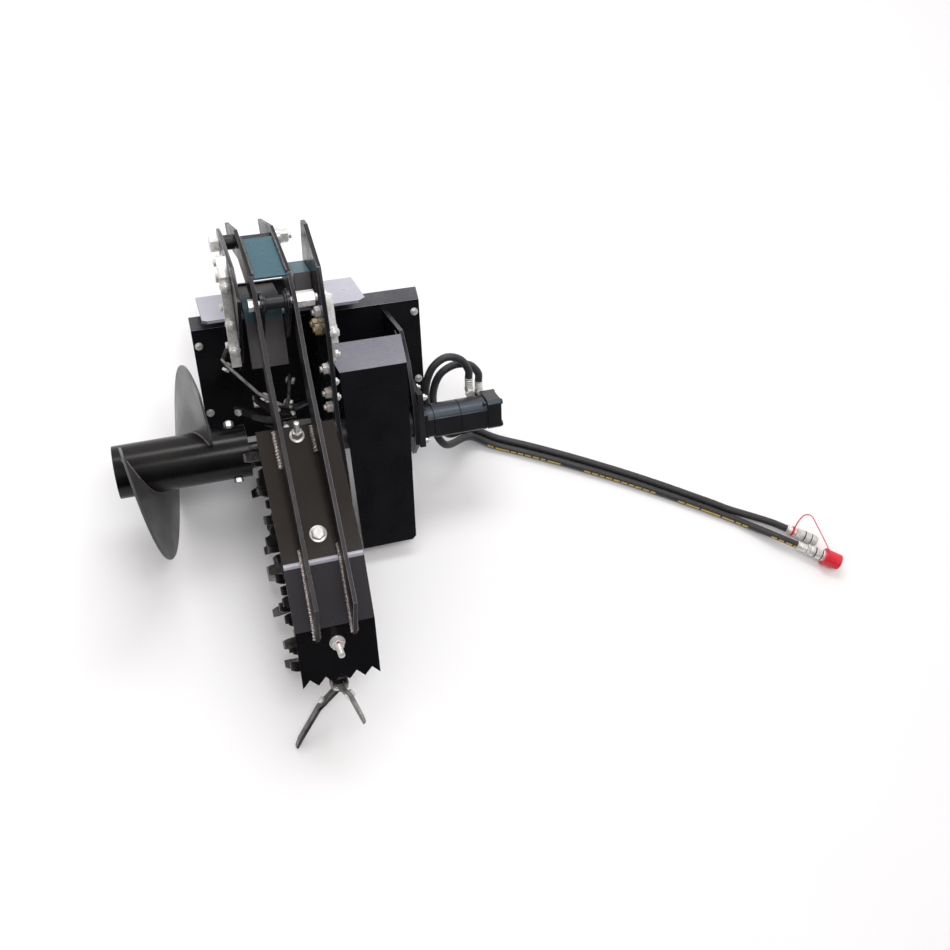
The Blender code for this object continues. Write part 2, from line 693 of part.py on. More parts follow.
def add_nose():
    low = BAR_WIDTH / 2 + GAP
    high = low + 0.008
    cheek = boom_box("nose_fork", (-high, -low), (0.375, 0.622), (-0.024, 0.024))
    other = boom_box("nose_fork_cheek", (low, high), (0.375, 0.622), (-0.024, 0.024))
    bridge = boom_box("nose_fork_bridge", (-high + 0.001, high - 0.001), (0.524, 0.540), (-0.022, 0.022))
    slots = []
    for k, middle in enumerate((0.400, 0.455)):
        line = arc((middle - 0.001, 0.0), 0.0085, math.pi / 2, 3 * math.pi / 2, 6)
        line += arc((middle + 0.021, 0.0), 0.0085, -math.pi / 2, math.pi / 2, 6)
        slots.append(plate(f"fork_slot_{k}", "X", -0.04, 0.04, [boom(s, h) for s, h in line]))
    hole = rod_x("fork_axle_hole", -0.04, 0.04, 0.0103, NOSE_Y, NOSE_Z)
    settle(cut(weld_on(cheek, other, bridge), *slots, hole), "nose_slide", BLACK)
    axle = rod_x("idler_axle", -high - 0.006, high + 0.006, 0.010, NOSE_Y, NOSE_Z)
    ends = [
        rod_x("idler_axle_head", -high - 0.009, -high - GAP, 0.015, NOSE_Y, NOSE_Z),
        rod_x("idler_axle_nut", high + GAP, high + 0.009, 0.015, NOSE_Y, NOSE_Z, 6),
    ]
    settle(weld_on(axle, *ends), "nose_slide", ZINC)
    edge = low - 2 * GAP
    wheel = [(0.034, -edge), (0.034, -0.006), (0.040, -0.006), (0.040, 0.006), (0.034, 0.006)]
    wheel += [(0.034, edge), (0.0103, edge), (0.0103, -edge)]
    item = turned("nose_idler", wheel, sides=32)
    item.location.y = NOSE_Y
    item.location.z = NOSE_Z
    settle(item, "nose_spin", DARK_STEEL)


# ------------------------------------------------------------------------------- crumber
add_group("crumber_pivot", (0.0, PIVOT_Y, PIVOT_Z), "trencher_root")
CRUMBER = "crumber_pivot"
SHOE_LINE = ((-0.145, 0.118), (-0.398, -0.134), (-0.462, -0.289), (-0.470, -0.457))


def add_crumber_arms():
    bed = sheet(list(SHOE_LINE), 2 * GAP)[::-1][:4]
    end_share = 0.22
    last = (
        bed[2][0] + (bed[3][0] - bed[2][0]) * end_share,
        bed[2][1] + (bed[3][1] - bed[2][1]) * end_share,
    )
    outline = [
        (0.520, 0.478),
        (0.228, 0.532),
        (0.080, 0.506),
        (-0.035, 0.484),
        (-0.088, 0.430),
        (-0.155, 0.290),
        (-0.522, -0.1915),
        last,
        bed[2],
        bed[1],
        bed[0],
        (-0.078, 0.262),
        (-0.022, 0.375),
        (0.015, 0.418),
        (0.225, 0.455),
        (0.500, 0.418),
    ]
    holes = [circle(PIVOT_Y, PIVOT_Z, 0.0106, 20), circle(STOP_PIN_Y, STOP_PIN_Z, 0.0083, 20)]
    half = ARM_THICK / 2
    for name, x in (("crumber_arm_left", -ARM_CENTRE), ("crumber_arm_right", ARM_CENTRE)):
        settle(plate(name, "X", x - half, x + half, outline, holes), CRUMBER, BLACK)
    inner = ARM_CENTRE - half - GAP
    line = [(-0.036, 0.4795), (0.080, 0.5015), (0.180, 0.519)]
    cover = plate("crumber_top_plate", "X", -inner, inner, sheet(line, 0.006))
    settle(cover, CRUMBER, BLACK)


def add_crumber_shoe():
    """Bent cover over the nose end of the chain, with a saw edge that sweeps the trench."""
    half = SHOE_HALF_WIDTH
    outline = sheet(list(SHOE_LINE), -SHOE_THICK)
    item = plate("crumber_shoe", "X", -half, half, outline)
    teeth = 5
    pitch = 2 * half / teeth
    saw = [(-half - 0.004, -0.520)]
    for k in range(teeth):
        saw.append((-half + pitch * k, -0.4575))
        saw.append((-half + pitch * (k + 0.5), -0.435))
    saw += [(half, -0.4575), (half + 0.004, -0.520)]
    cutter = plate("shoe_saw", "Y", -0.52, -0.42, saw)
    settle(cut(item, cutter), CRUMBER, BLACK)


def add_stop_pin():
    y, z = STOP_PIN_Y, STOP_PIN_Z
    outer = ARM_CENTRE + ARM_THICK / 2 + 2 * GAP
    pin = rod_x("stop_pin", LEFT_PLATE_X[0] - 0.024, 0.090, 0.008, y, z, 20)
    head = rod_x("stop_pin_head", LEFT_PLATE_X[0] - 0.020, LEFT_PLATE_X[0] - 2 * GAP, 0.014, y, z, 6)
    nut = rod_x("stop_pin_nut", outer, 0.084, 0.014, y, z, 6)
    settle(weld_on(pin, head, nut), CRUMBER, ZINC)
    inner = ARM_CENTRE - ARM_THICK / 2 - GAP
    sleeve = [(0.0125, -inner), (0.0125, inner), (0.0083, inner), (0.0083, -inner)]
    item = turned("stop_pin_spacer", sleeve, sides=20)
    item.location.y = y
    item.location.z = z
    settle(item, CRUMBER, BLACK)


# ------------------------------------------------------------------------ motor and its ports
def add_motor():
    left = MOTOR_PLATE_X[1] + GAP
    half = MOTOR_HALF
    flange = box("motor_flange", (left, MOTOR_LEFT - GAP), (-0.052, 0.052), (-0.058, 0.104))
    settle(flange, FRAME, MOTOR_BLACK)
    chamfer = 0.010
    flat = half - chamfer
    section = [(half, flat), (flat, half), (-flat, half), (-half, flat)]
    section += [(-half, -flat), (-flat, -half), (flat, -half), (half, -flat)]
    settle(plate("hydraulic_motor", "X", MOTOR_LEFT, MOTOR_RIGHT, section), FRAME, MOTOR_BLACK)
    for k, (x, y, z) in enumerate(PORTS):
        stem = rod(f"port_fitting_{k + 1}", (x, half + GAP, z - 0.045), (x, y + 0.012, z - 0.045), 0.0125, 6)
        riser = rod(f"port_riser_{k}", (x, y, z - 0.055), (x, y, z), 0.0125, 6)
        settle(weld_on(stem, riser), FRAME, ZINC)


PORTS = ((0.530, 0.066, 0.075), (0.567, 0.092, 0.048))


# ------------------------------------------------------------------------------------- hoses
def smooth_path(knots, spacing):
    """Points at even spacing along a curve that runs smoothly through the knots."""
    knots = [Vector(k) for k in knots]
    ends = [2 * knots[0] - knots[1], *knots, 2 * knots[-1] - knots[-2]]
    fine = []
    for k in range(len(knots) - 1):
        a, b, c, d = ends[k : k + 4]
        for step in range(24):
            t = step / 24
            bend = (2 * a - 5 * b + 4 * c - d) * t**2 + (3 * b - a - 3 * c + d) * t**3
            fine.append((2 * b + (c - a) * t + bend) / 2)
    fine.append(knots[-1])
    points = [fine[0]]
    travelled = 0.0
    for first, last in zip(fine, fine[1:]):
        travelled += (last - first).length
        if travelled >= spacing:
            points.append(last)
            travelled = 0.0
    if travelled > 0.4 * spacing:
        points.append(fine[-1])
    else:
        points[-1] = fine[-1]
    return points


def ground_run(along, side, height):
    """A place on the run along the ground; side moves it across to the hose's own lane."""
    lean = -0.423 - 0.296 * along
    across = Vector((-lean, 1.0)).normalized() * side
    middle = Vector((0.535 + along, 0.024 - 0.423 * along - 0.148 * along**2))
    place = middle + across
    return Vector((CENTRE_X + place.x, CENTRE_Y + place.y, height))


HOSES = (
    {
        "arch": (
            (0.000, 0.000, 0.026),
            (-0.024, -0.002, 0.062),
            (-0.068, -0.002, 0.074),
            (-0.110, 0.002, 0.040),
            (-0.128, 0.010, -0.032),
            (-0.117, 0.012, -0.115),
            (-0.080, 0.002, -0.200),
        ),
        "lane": -0.0125,
        "far_lane": -0.021,
        "length": 0.960,
        "rest": CAP_RADIUS,
    },
    {
        "arch": (
            (0.000, 0.000, 0.026),
            (-0.026, -0.001, 0.056),
            (-0.072, 0.000, 0.062),
            (-0.115, 0.004, 0.036),
            (-0.134, 0.016, -0.026),
            (-0.124, 0.030, -0.100),
            (-0.092, 0.034, -0.170),
        ),
        "lane": 0.0125,
        "far_lane": 0.021,
        "length": 0.925,
        "rest": COUPLER_RADIUS,
    },
)


def add_hose(number, hose):
    """A hose that rises from its port, arches over behind the motor and runs out on the ground."""
    x, y, z = PORTS[number]
    upper = [(x, y, z + 5 * GAP)]
    upper += [(x + dx, y + dy, z + dz) for dx, dy, dz in hose["arch"]]
    knots = [Vector(to_ground(p)) for p in upper]
    rest = HOSE_RADIUS + 0.0016
    last = hose["length"]
    knots.append(ground_run(0.020, hose["lane"], rest + 0.024))
    for along in (0.10, 0.22, 0.38, 0.54, 0.70, last - 0.16):
        knots.append(ground_run(along, hose["lane"], rest))
    high = hose["rest"] + 0.0036
    middle = (hose["lane"] + hose["far_lane"]) / 2
    knots.append(ground_run(last - 0.10, middle, (rest + high) / 2))
    knots.append(ground_run(last - 0.04, hose["far_lane"], high))
    knots.append(ground_run(last, hose["far_lane"], high))
    data = bpy.data.curves.new(f"hose_{number + 1}", "CURVE")
    data.dimensions = "3D"
    data.bevel_depth = HOSE_RADIUS
    data.bevel_resolution = 2
    data.use_fill_caps = True
    path = smooth_path(knots, 0.030)
    spline = data.splines.new("POLY")
    spline.points.add(len(path) - 1)
    for point, place in zip(spline.points, path):
        point.co = (*place, 1.0)
    item = bpy.data.objects.new(f"hose_{number + 1}", data)
    settle(item, None, RUBBER)
    return path


def add_hose_end(number, path):
    """Crimped ferrule and quick coupler in line with the hose's end."""
    aim = (path[-1] - path[-2]).normalized()
    start = path[-1] + aim * GAP
    ferrule = rod(f"hose_ferrule_{number}", start, start + aim * 0.036, 0.0145, 20)
    start += aim * 0.034
    body = rod(f"hose_coupler_{number + 1}", start, start + aim * 0.070, COUPLER_RADIUS, 24)
    nut = rod(f"coupler_nut_{number}", start + aim * 0.006, start + aim * 0.024, COUPLER_RADIUS + 0.0012, 6)
    settle(weld_on(body, ferrule, nut, level=True), None, ZINC)
    return start + aim * 0.070, aim


def add_dust_cap(end, aim):
    """Ribbed plastic cap pushed over the female coupler."""
    start = end - aim * 0.012
    shell = rod("dust_cap", start, start + aim * 0.056, CAP_RADIUS, 28)
    pocket = rod("cap_pocket", start - aim * 0.01, end + aim * 0.002, COUPLER_RADIUS + GAP, 28)
    settle(cut(shell, pocket, level=True), None, RED)


# ------------------------------------------------------------------------------- build it all
add_mount_plate()
add_lower_lugs()
add_shelf()
add_side_plates()
add_bearing_housing()
add_tower()
add_pivot()
add_straps()
add_hood()
add_boom()
add_chain()
add_cutters()
add_rotor()
add_flight()
add_nose()
add_crumber_arms()
add_crumber_shoe()
add_stop_pin()
add_motor()
hose_ends = [add_hose_end(index, add_hose(index, entry)) for index, entry in enumerate(HOSES)]
add_dust_cap(*hose_ends[0])
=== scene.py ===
"""Trencher attachment parked on a pale studio floor: surfaces, fine parts, hoses and camera."""
import json
import math
import bmesh
import bpy
from mathutils import Matrix, Vector


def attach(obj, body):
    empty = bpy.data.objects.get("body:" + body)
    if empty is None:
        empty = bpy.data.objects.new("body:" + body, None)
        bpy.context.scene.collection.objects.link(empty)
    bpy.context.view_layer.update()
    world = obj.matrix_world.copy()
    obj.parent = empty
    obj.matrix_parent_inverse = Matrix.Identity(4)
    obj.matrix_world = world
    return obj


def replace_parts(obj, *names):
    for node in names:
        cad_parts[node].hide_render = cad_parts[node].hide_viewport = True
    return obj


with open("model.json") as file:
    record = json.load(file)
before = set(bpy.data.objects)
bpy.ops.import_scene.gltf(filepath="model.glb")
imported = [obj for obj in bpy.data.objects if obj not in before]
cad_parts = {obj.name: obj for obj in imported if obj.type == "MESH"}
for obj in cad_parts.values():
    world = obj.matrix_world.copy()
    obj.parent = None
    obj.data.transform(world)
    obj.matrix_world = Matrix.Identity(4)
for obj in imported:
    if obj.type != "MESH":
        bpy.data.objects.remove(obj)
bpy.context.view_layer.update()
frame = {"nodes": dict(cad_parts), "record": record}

# ---------------------------------------------------------------- layout shared with the CAD
TILT = math.radians(42.5)
CENTRE = Vector((-0.066, 0.0388, 0.252))
ROOT = Matrix.Translation(CENTRE) @ Matrix.Rotation(-TILT, 4, "X")
BOOM_SLOPE = math.radians(52.75)
NOSE_REACH = 0.603
HEAD_PITCH, NOSE_PITCH = 0.078, 0.052
PIVOT = (-0.060, 0.420)
STOP_PIN = (0.245, 0.497)
SHOE_LINE = ((-0.145, 0.118), (-0.398, -0.134), (-0.462, -0.289), (-0.470, -0.457))
HOSE_RADIUS = 0.0112
COUPLER_RADIUS, CAP_RADIUS = 0.0175, 0.026
MOTOR_HALF = 0.044


# --------------------------------------------------------------------------------- camera
def add_camera():
    data = bpy.data.cameras.new("camera")
    data.lens = 39.86
    data.sensor_width = 36.0
    camera = bpy.data.objects.new("camera", data)
    bpy.context.scene.collection.objects.link(camera)
    right = Vector((0.9509, -0.3074, -0.0350)).normalized()
    back = Vector((-0.2527, -0.8368, 0.4857)).normalized()
    up = back.cross(right).normalized()
    right = up.cross(back)
    axes = Matrix((right, up, back)).transposed().to_4x4()
    camera.matrix_world = ROOT @ Matrix.Translation((-0.263, -2.585, 1.294)) @ axes
    bpy.context.scene.camera = camera


add_camera()


# ------------------------------------------------------------------------------ materials
class Surface:
    """A procedural material: a Principled shader and the nodes that feed it."""

    def __init__(self, name):
        self.made = bpy.data.materials.new(name)
        self.made.use_nodes = True
        self.nodes = self.made.node_tree.nodes
        self.links = self.made.node_tree.links
        self.shader = self.nodes["Principled BSDF"]

    def feed(self, socket, value):
        """Gives a shader socket a number or a node's output."""
        if isinstance(value, float):
            self.shader.inputs[socket].default_value = value
        else:
            self.links.new(value, self.shader.inputs[socket])

    def noise(self, scale, detail=4.0, rough=0.55, stretch=None):
        """A noise factor in the object's own space, in cycles a metre."""
        place = self.nodes.new("ShaderNodeTexCoord").outputs["Object"]
        texture = self.nodes.new("ShaderNodeTexNoise")
        texture.inputs["Scale"].default_value = scale
        texture.inputs["Detail"].default_value = detail
        texture.inputs["Roughness"].default_value = rough
        if stretch is not None:
            mapping = self.nodes.new("ShaderNodeMapping")
            mapping.inputs["Scale"].default_value = stretch
            self.links.new(place, mapping.inputs["Vector"])
            place = mapping.outputs["Vector"]
        self.links.new(place, texture.inputs["Vector"])
        return texture.outputs["Fac"]

    def spread(self, source, low, high, start=0.3, end=0.7):
        """A factor moved from one range to another."""
        scale = self.nodes.new("ShaderNodeMapRange")
        scale.inputs["From Min"].default_value = start
        scale.inputs["From Max"].default_value = end
        scale.inputs["To Min"].default_value = low
        scale.inputs["To Max"].default_value = high
        self.links.new(source, scale.inputs["Value"])
        return scale.outputs["Result"]

    def blend(self, factor, first, second):
        mix = self.nodes.new("ShaderNodeMix")
        mix.data_type = "RGBA"
        for socket, value in ((mix.inputs["A"], first), (mix.inputs["B"], second)):
            if isinstance(value, tuple):
                socket.default_value = (*value, 1.0)
            else:
                self.links.new(value, socket)
        self.links.new(factor, mix.inputs["Factor"])
        return mix.outputs["Result"]

    def multiply(self, first, second):
        node = self.nodes.new("ShaderNodeMath")
        node.operation = "MULTIPLY"
        self.links.new(first, node.inputs[0])
        self.links.new(second, node.inputs[1])
        return node.outputs["Value"]

    def facing_up(self, start, end):
        """How much a surface faces the sky, from 0 to 1."""
        geometry = self.nodes.new("ShaderNodeNewGeometry")
        parts = self.nodes.new("ShaderNodeSeparateXYZ")
        self.links.new(geometry.outputs["Normal"], parts.inputs["Vector"])
        return self.spread(parts.outputs["Z"], 0.0, 1.0, start, end)

    def bump(self, height, strength, distance):
        node = self.nodes.new("ShaderNodeBump")
        node.inputs["Strength"].default_value = strength
        node.inputs["Distance"].default_value = distance
        self.links.new(height, node.inputs["Height"])
        self.feed("Normal", node.outputs["Normal"])


def paint(name, colour, dust, rough, peel=0.10, coat=0.0, gloss=0.34):
    """Sprayed paint with a little orange peel and speckled patches of a second colour on what faces up: dust
    on most paints, a painted reflection on the auger tube.
    """
    look = Surface(name)
    broad = look.noise(9.0, 5.0)
    fine = look.noise(420.0, 2.0)
    specks = look.noise(140.0, 6.0, 0.7)
    film = look.multiply(look.spread(broad, 0.0, 0.30, 0.42, 0.72), look.facing_up(0.1, 1.0))
    film = look.multiply(film, look.spread(specks, 0.1, 0.5))
    look.feed("Base Color", look.blend(film, colour, dust))
    look.feed("Roughness", look.spread(broad, *rough))
    look.feed("Specular IOR Level", gloss)
    look.feed("Coat Weight", coat)
    look.feed("Coat Roughness", 0.12)
    look.bump(look.blend(look.spread(specks, 0.0, 0.4), fine, specks), peel, 0.0006)
    return look.made


def tinted_top(name, colour, top, lean, dust, rough, gloss=0.34, metallic=0.0):
    """Paint with a second colour on the faces that look at the sky, and scuffs and specks of a third colour
    there. In most uses the upward colour is painted light, a sky reflection on those faces, and the scuffs
    and specks mix dust with painted sheen.
    """
    look = Surface(name)
    broad = look.noise(11.0, 5.0)
    specks = look.noise(150.0, 6.0, 0.7)
    scuffs = look.noise(60.0, 5.0, 0.6, (1.0, 9.0, 9.0))
    up = look.facing_up(*lean)
    base = look.blend(up, colour, top)
    base = look.blend(look.multiply(look.spread(scuffs, 0.0, 0.32, 0.46, 0.70), up), base, dust)
    base = look.blend(look.multiply(look.spread(specks, 0.0, 0.30, 0.55, 0.75), up), base, dust)
    look.feed("Base Color", base)
    look.feed("Roughness", look.spread(broad, *rough))
    look.feed("Metallic", metallic)
    look.feed("Specular IOR Level", gloss)
    look.bump(specks, 0.12, 0.0005)
    return look.made


def metal(name, colour, stain, rough, scale, grain, metallic):
    look = Surface(name)
    broad = look.noise(scale, 5.0)
    fine = look.noise(scale * 14.0, 3.0, 0.65)
    look.feed("Base Color", look.blend(look.spread(broad, 0.0, 1.0, 0.40, 0.68), colour, stain))
    look.feed("Metallic", metallic)
    look.feed("Roughness", look.spread(fine, *rough))
    look.bump(fine, grain, 0.0005)
    return look.made


def plastic(name, colour, shade, rough, scale, grain):
    look = Surface(name)
    broad = look.noise(scale, 3.0)
    fine = look.noise(scale * 20.0, 2.0)
    look.feed("Base Color", look.blend(look.spread(broad, 0.0, 1.0), colour, shade))
    look.feed("Roughness", look.spread(fine, rough, rough + 0.15))
    look.bump(fine, grain, 0.0004)
    return look.made


DEEP_BLACK = (0.0062, 0.0064, 0.0080)
SATIN = (0.22, 0.36)

BLACK = paint("gloss_black_paint", DEEP_BLACK, (0.10, 0.095, 0.09), (0.20, 0.34))
# Bevel faces a little lighter than the paint: partly worn edges, partly a painted highlight where edges
# catch the light.
WORN_BEVEL_SHEEN = paint("worn_edge_with_sheen", (0.060, 0.058, 0.064), (0.20, 0.19, 0.18), SATIN, 0.15, 0.3, 0.5)
# Pale lavender for bevel faces: a painted highlight where the edges of the mount plate and arms catch the
# sky.
BEVEL_HIGHLIGHT = paint(
    "painted_edge_highlight", (0.36, 0.35, 0.41), (0.44, 0.43, 0.46), (0.24, 0.36), 0.15, 0.3, 0.5
)
# Pale lavender for the strip over the shoe's fold: a painted highlight.
BEND_HIGHLIGHT = paint("painted_bend_highlight", (0.34, 0.33, 0.39), (0.42, 0.41, 0.46), (0.24, 0.36), 0.15, 0.3, 0.5)
# Black tube; the brown second colour on its upward faces is a painted reflection of a warm surrounding.
TUBE = paint(
    "auger_tube_paint", (0.0048, 0.0044, 0.0044), (0.085, 0.070, 0.058), (0.17, 0.26), gloss=0.20
)
CAST = paint(
    "cast_black_paint", (0.012, 0.012, 0.014), (0.08, 0.08, 0.085), (0.34, 0.48), 0.45, gloss=0.4
)
# Lighter grey for the shoe's middle section: painted light, the same black paint shown more lit than the
# sections beside it.
SHOE_MIDDLE_SHEEN = paint(
    "shoe_middle_painted_light", (0.034, 0.030, 0.034), (0.06, 0.055, 0.06), (0.22, 0.34), gloss=0.3
)
# Black shoe with a brown tone on the faces that look up: the brown is a painted warm reflection.
SHOE = tinted_top(
    "shoe_black_paint",
    (0.0060, 0.0060, 0.0068),
    (0.0150, 0.0100, 0.0070),
    (0.93, 0.99),
    (0.017, 0.012, 0.009),
    (0.15, 0.24),
    0.26,
)
# Dark steel grey flight, lighter on the faces that look up: painted light from above, with scuffs and specks
# of dust on top.
FLIGHT = tinted_top(
    "flight_steel_paint",
    (0.028, 0.031, 0.032),
    (0.085, 0.085, 0.085),
    (-0.3, 0.5),
    (0.15, 0.145, 0.14),
    (0.30, 0.46),
    0.4,
    0.1,
)
# Black arms whose upward edge faces are lighter: a painted highlight from the sky, with scuffs of dust.
ARM = tinted_top(
    "arm_black_paint",
    (0.012, 0.0115, 0.012),
    (0.032, 0.029, 0.029),
    (0.80, 0.97),
    (0.055, 0.05, 0.05),
    (0.26, 0.40),
    0.12,
)
# Black hood with a lavender-grey top: a painted sky reflection, with lighter scuffs and specks that are
# partly dust and partly painted reflection.
HOOD = tinted_top(
    "hood_black_paint", DEEP_BLACK, (0.125, 0.120, 0.150), (0.80, 0.96), (0.26, 0.25, 0.29), SATIN
)
# Near-black shelf whose upward faces are pale lavender: a painted sky reflection, with paler scuffs and
# specks.
SHELF = tinted_top(
    "shelf_painted_sheen",
    (0.020, 0.020, 0.024),
    (0.41, 0.41, 0.48),
    (0.45, 0.70),
    (0.58, 0.58, 0.65),
    (0.26, 0.42),
    0.5,
    0.2,
)
# Black mount plate with a faintly lighter tone on faces that look up: a painted sheen, with specks of dust.
PLATE = tinted_top(
    "mount_plate_paint", DEEP_BLACK, (0.016, 0.016, 0.021), (0.86, 0.98), (0.10, 0.10, 0.12), SATIN
)
# Near-black, turning teal on the faces that look up.
TEAL = tinted_top(
    "teal_on_upward_faces",
    (0.018, 0.026, 0.030),
    (0.024, 0.092, 0.122),
    (-0.35, 0.30),
    (0.07, 0.15, 0.18),
    (0.20, 0.34),
)
# The grey front is painted light, paler than the black paint so it reads as lit; the faces that look up turn
# teal.
BLOCK = tinted_top(
    "tower_block_paint",
    (0.17, 0.16, 0.165),
    (0.030, 0.130, 0.165),
    (0.705, 0.725),
    (0.12, 0.22, 0.26),
    (0.28, 0.42),
)
# Grey guard, turning teal on the faces that look up.
GUARD = tinted_top(
    "guard_grey_paint",
    (0.120, 0.112, 0.115),
    (0.030, 0.120, 0.150),
    (0.76, 0.90),
    (0.16, 0.18, 0.19),
    (0.34, 0.48),
)
# Black motor with a blue tint on faces that look up: a painted highlight from above.
MOTOR = tinted_top(
    "motor_black_paint",
    (0.0095, 0.0095, 0.0115),
    (0.030, 0.045, 0.062),
    (0.72, 0.98),
    (0.10, 0.12, 0.14),
    (0.28, 0.42),
    0.45,
)
STEEL = metal(
    "dark_oiled_steel", (0.085, 0.080, 0.078), (0.030, 0.027, 0.026), (0.24, 0.50), 60.0, 0.35, 0.9
)
BLADE = metal(
    "forged_cutter_steel", (0.17, 0.165, 0.16), (0.05, 0.047, 0.045), (0.24, 0.5), 45.0, 0.4, 0.85
)
LUG = metal(
    "oiled_chain_steel", (0.050, 0.047, 0.045), (0.016, 0.015, 0.015), (0.20, 0.42), 60.0, 0.4, 0.7
)
ZINC = metal("zinc_plate", (0.76, 0.76, 0.75), (0.56, 0.54, 0.48), (0.20, 0.40), 70.0, 0.18, 0.45)
YELLOW_ZINC = metal(
    "yellow_zinc_plate", (0.62, 0.48, 0.26), (0.66, 0.62, 0.52), (0.22, 0.42), 60.0, 0.18, 0.5
)
WELD = metal("painted_weld", (0.20, 0.18, 0.165), (0.03, 0.03, 0.032), (0.22, 0.45), 300.0, 0.6, 0.5)
# Near-white weld colour: a painted highlight on beads that catch the light, the same welds as the dark ones.
WELD_HIGHLIGHT = metal(
    "lit_weld_highlight", (0.78, 0.72, 0.68), (0.10, 0.07, 0.06), (0.22, 0.45), 300.0, 0.6, 0.6
)
RUBBER = plastic("hose_cover_rubber", (0.020, 0.020, 0.023), (0.034, 0.034, 0.037), 0.40, 90.0, 0.5)
PRINT = plastic("lay_line_yellow", (0.82, 0.56, 0.03), (0.66, 0.44, 0.03), 0.5, 200.0, 0.2)
RED = plastic("red_cap_plastic", (0.80, 0.018, 0.040), (0.64, 0.012, 0.030), 0.30, 60.0, 0.25)
RED_MARK = plastic("red_torque_mark", (0.75, 0.03, 0.04), (0.6, 0.02, 0.03), 0.45, 100.0, 0.2)


# ----------------------------------------------------------------------------- mesh helpers
def add_piece(name, bm, body, look, matrix=ROOT, bevel=0.0, smooth=40.0, segments=2):
    """Turns a bmesh into a piece that rides on a body, in place in the shared frame."""
    mesh = bpy.data.meshes.new(name)
    bmesh.ops.recalc_face_normals(bm, faces=bm.faces)
    bm.to_mesh(mesh)
    bm.free()
    mesh.transform(matrix)
    mesh.materials.append(look)
    mesh.shade_smooth()
    mesh.set_sharp_from_angle(angle=math.radians(smooth))
    item = bpy.data.objects.new(name, mesh)
    bpy.context.scene.collection.objects.link(item)
    if bevel:
        edge = item.modifiers.new("edges", "BEVEL")
        edge.width = bevel
        edge.segments = segments
        edge.limit_method = "ANGLE"
        edge.angle_limit = math.radians(34.0)
        edge.harden_normals = False
    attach(item, body)
    return item


def around(turn, radius, angle, along):
    """A place at an angle round an axis that turn points along."""
    return turn @ Vector((radius * math.cos(angle), radius * math.sin(angle), along))


def put_turned(bm, start, aim, profile, sides=32):
    """A solid of revolution: the profile is (along, radius) from one end on the axis to the other."""
    start = Vector(start)
    turn = Vector(aim).normalized().to_track_quat("Z", "X").to_matrix()
    rings = []
    for along, radius in profile:
        if radius < 1e-6:
            rings.append([bm.verts.new(start + turn @ Vector((0.0, 0.0, along)))])
            continue
        turns = [2 * math.pi * k / sides for k in range(sides)]
        rings.append([bm.verts.new(start + around(turn, radius, angle, along)) for angle in turns])
    for first, last in zip(rings, rings[1:]):
        for k in range(sides):
            nxt = (k + 1) % sides
            ends = ((first, k), (first, nxt), (last, nxt), (last, k))
            corners = [ring[at % len(ring)] for ring, at in ends]
            distinct = list(dict.fromkeys(corners))
            if len(distinct) > 2:
                bm.faces.new(distinct)
    return rings


def put_prism(bm, outline, low, high, frame_of):
    """A flat piece: its outline points go through frame_of(u, v, w) with w from low to high."""
    near = [bm.verts.new(frame_of(u, v, low)) for u, v in outline]
    far = [bm.verts.new(frame_of(u, v, high)) for u, v in outline]
    count = len(outline)
    bm.faces.new(near[::-1])
    bm.faces.new(far)
    for k in range(count):
        nxt = (k + 1) % count
        bm.faces.new((near[k], near[nxt], far[nxt], far[k]))


def put_hexagon(bm, centre, aim, across, height, sides=6):
    """A nut or bolt head with the corners of its outer face turned down."""
    corner = across / math.sqrt(3.0)
    chamfer = across * 0.055
    profile = [(0.0, 0.0), (0.0, corner), (height - chamfer, corner), (height, corner - chamfer * 1.6)]
    profile.append((height, 0.0))
    put_turned(bm, centre, aim, profile, sides)


def put_thread(bm, start, aim, radius, length, pitch=0.0016):
    """A bolt's threaded end, as a stack of shallow ridges."""
    profile = [(0.0, 0.0)]
    along = 0.0
    while along < length - pitch:
        profile.append((along, radius * 0.90))
        profile.append((along + pitch / 2, radius))
        along += pitch
    profile += [(length - 0.0006, radius * 0.86), (length, radius * 0.70), (length, 0.0)]
    put_turned(bm, start, aim, profile, 20)


def boom(along, across):
    ahead = Vector((-math.cos(BOOM_SLOPE), -math.sin(BOOM_SLOPE)))
    above = Vector((-math.sin(BOOM_SLOPE), math.cos(BOOM_SLOPE)))
    return ahead * along + above * across


def refine(node, look, bevel=0.0012, edge_look=None, angle=34.0, segments=2):
    """The CAD node's own shape with rounded edges, shown in the node's place; an edge look colours the
    bevels, partly as wear and partly as painted highlight.
    """
    bm = bmesh.new()
    bm.from_mesh(frame["nodes"][node].data)
    bmesh.ops.remove_doubles(bm, verts=bm.verts, dist=1e-5)
    bmesh.ops.dissolve_limit(bm, angle_limit=math.radians(1.0), verts=bm.verts, edges=bm.edges)
    item = add_piece(f"{node}_finished", bm, NODE_BODY[node], look, Matrix.Identity(4))
    if edge_look is not None:
        item.data.materials.append(edge_look)
    edge = item.modifiers.new("edges", "BEVEL")
    edge.width = bevel
    edge.segments = segments
    edge.limit_method = "ANGLE"
    edge.angle_limit = math.radians(angle)
    edge.harden_normals = True
    edge.material = 1 if edge_look is not None else -1
    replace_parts(item, node)
    return item


NODE_BODY = {node: body for body, nodes in frame["record"]["behaviour"]["bodies"].items() for node in nodes}


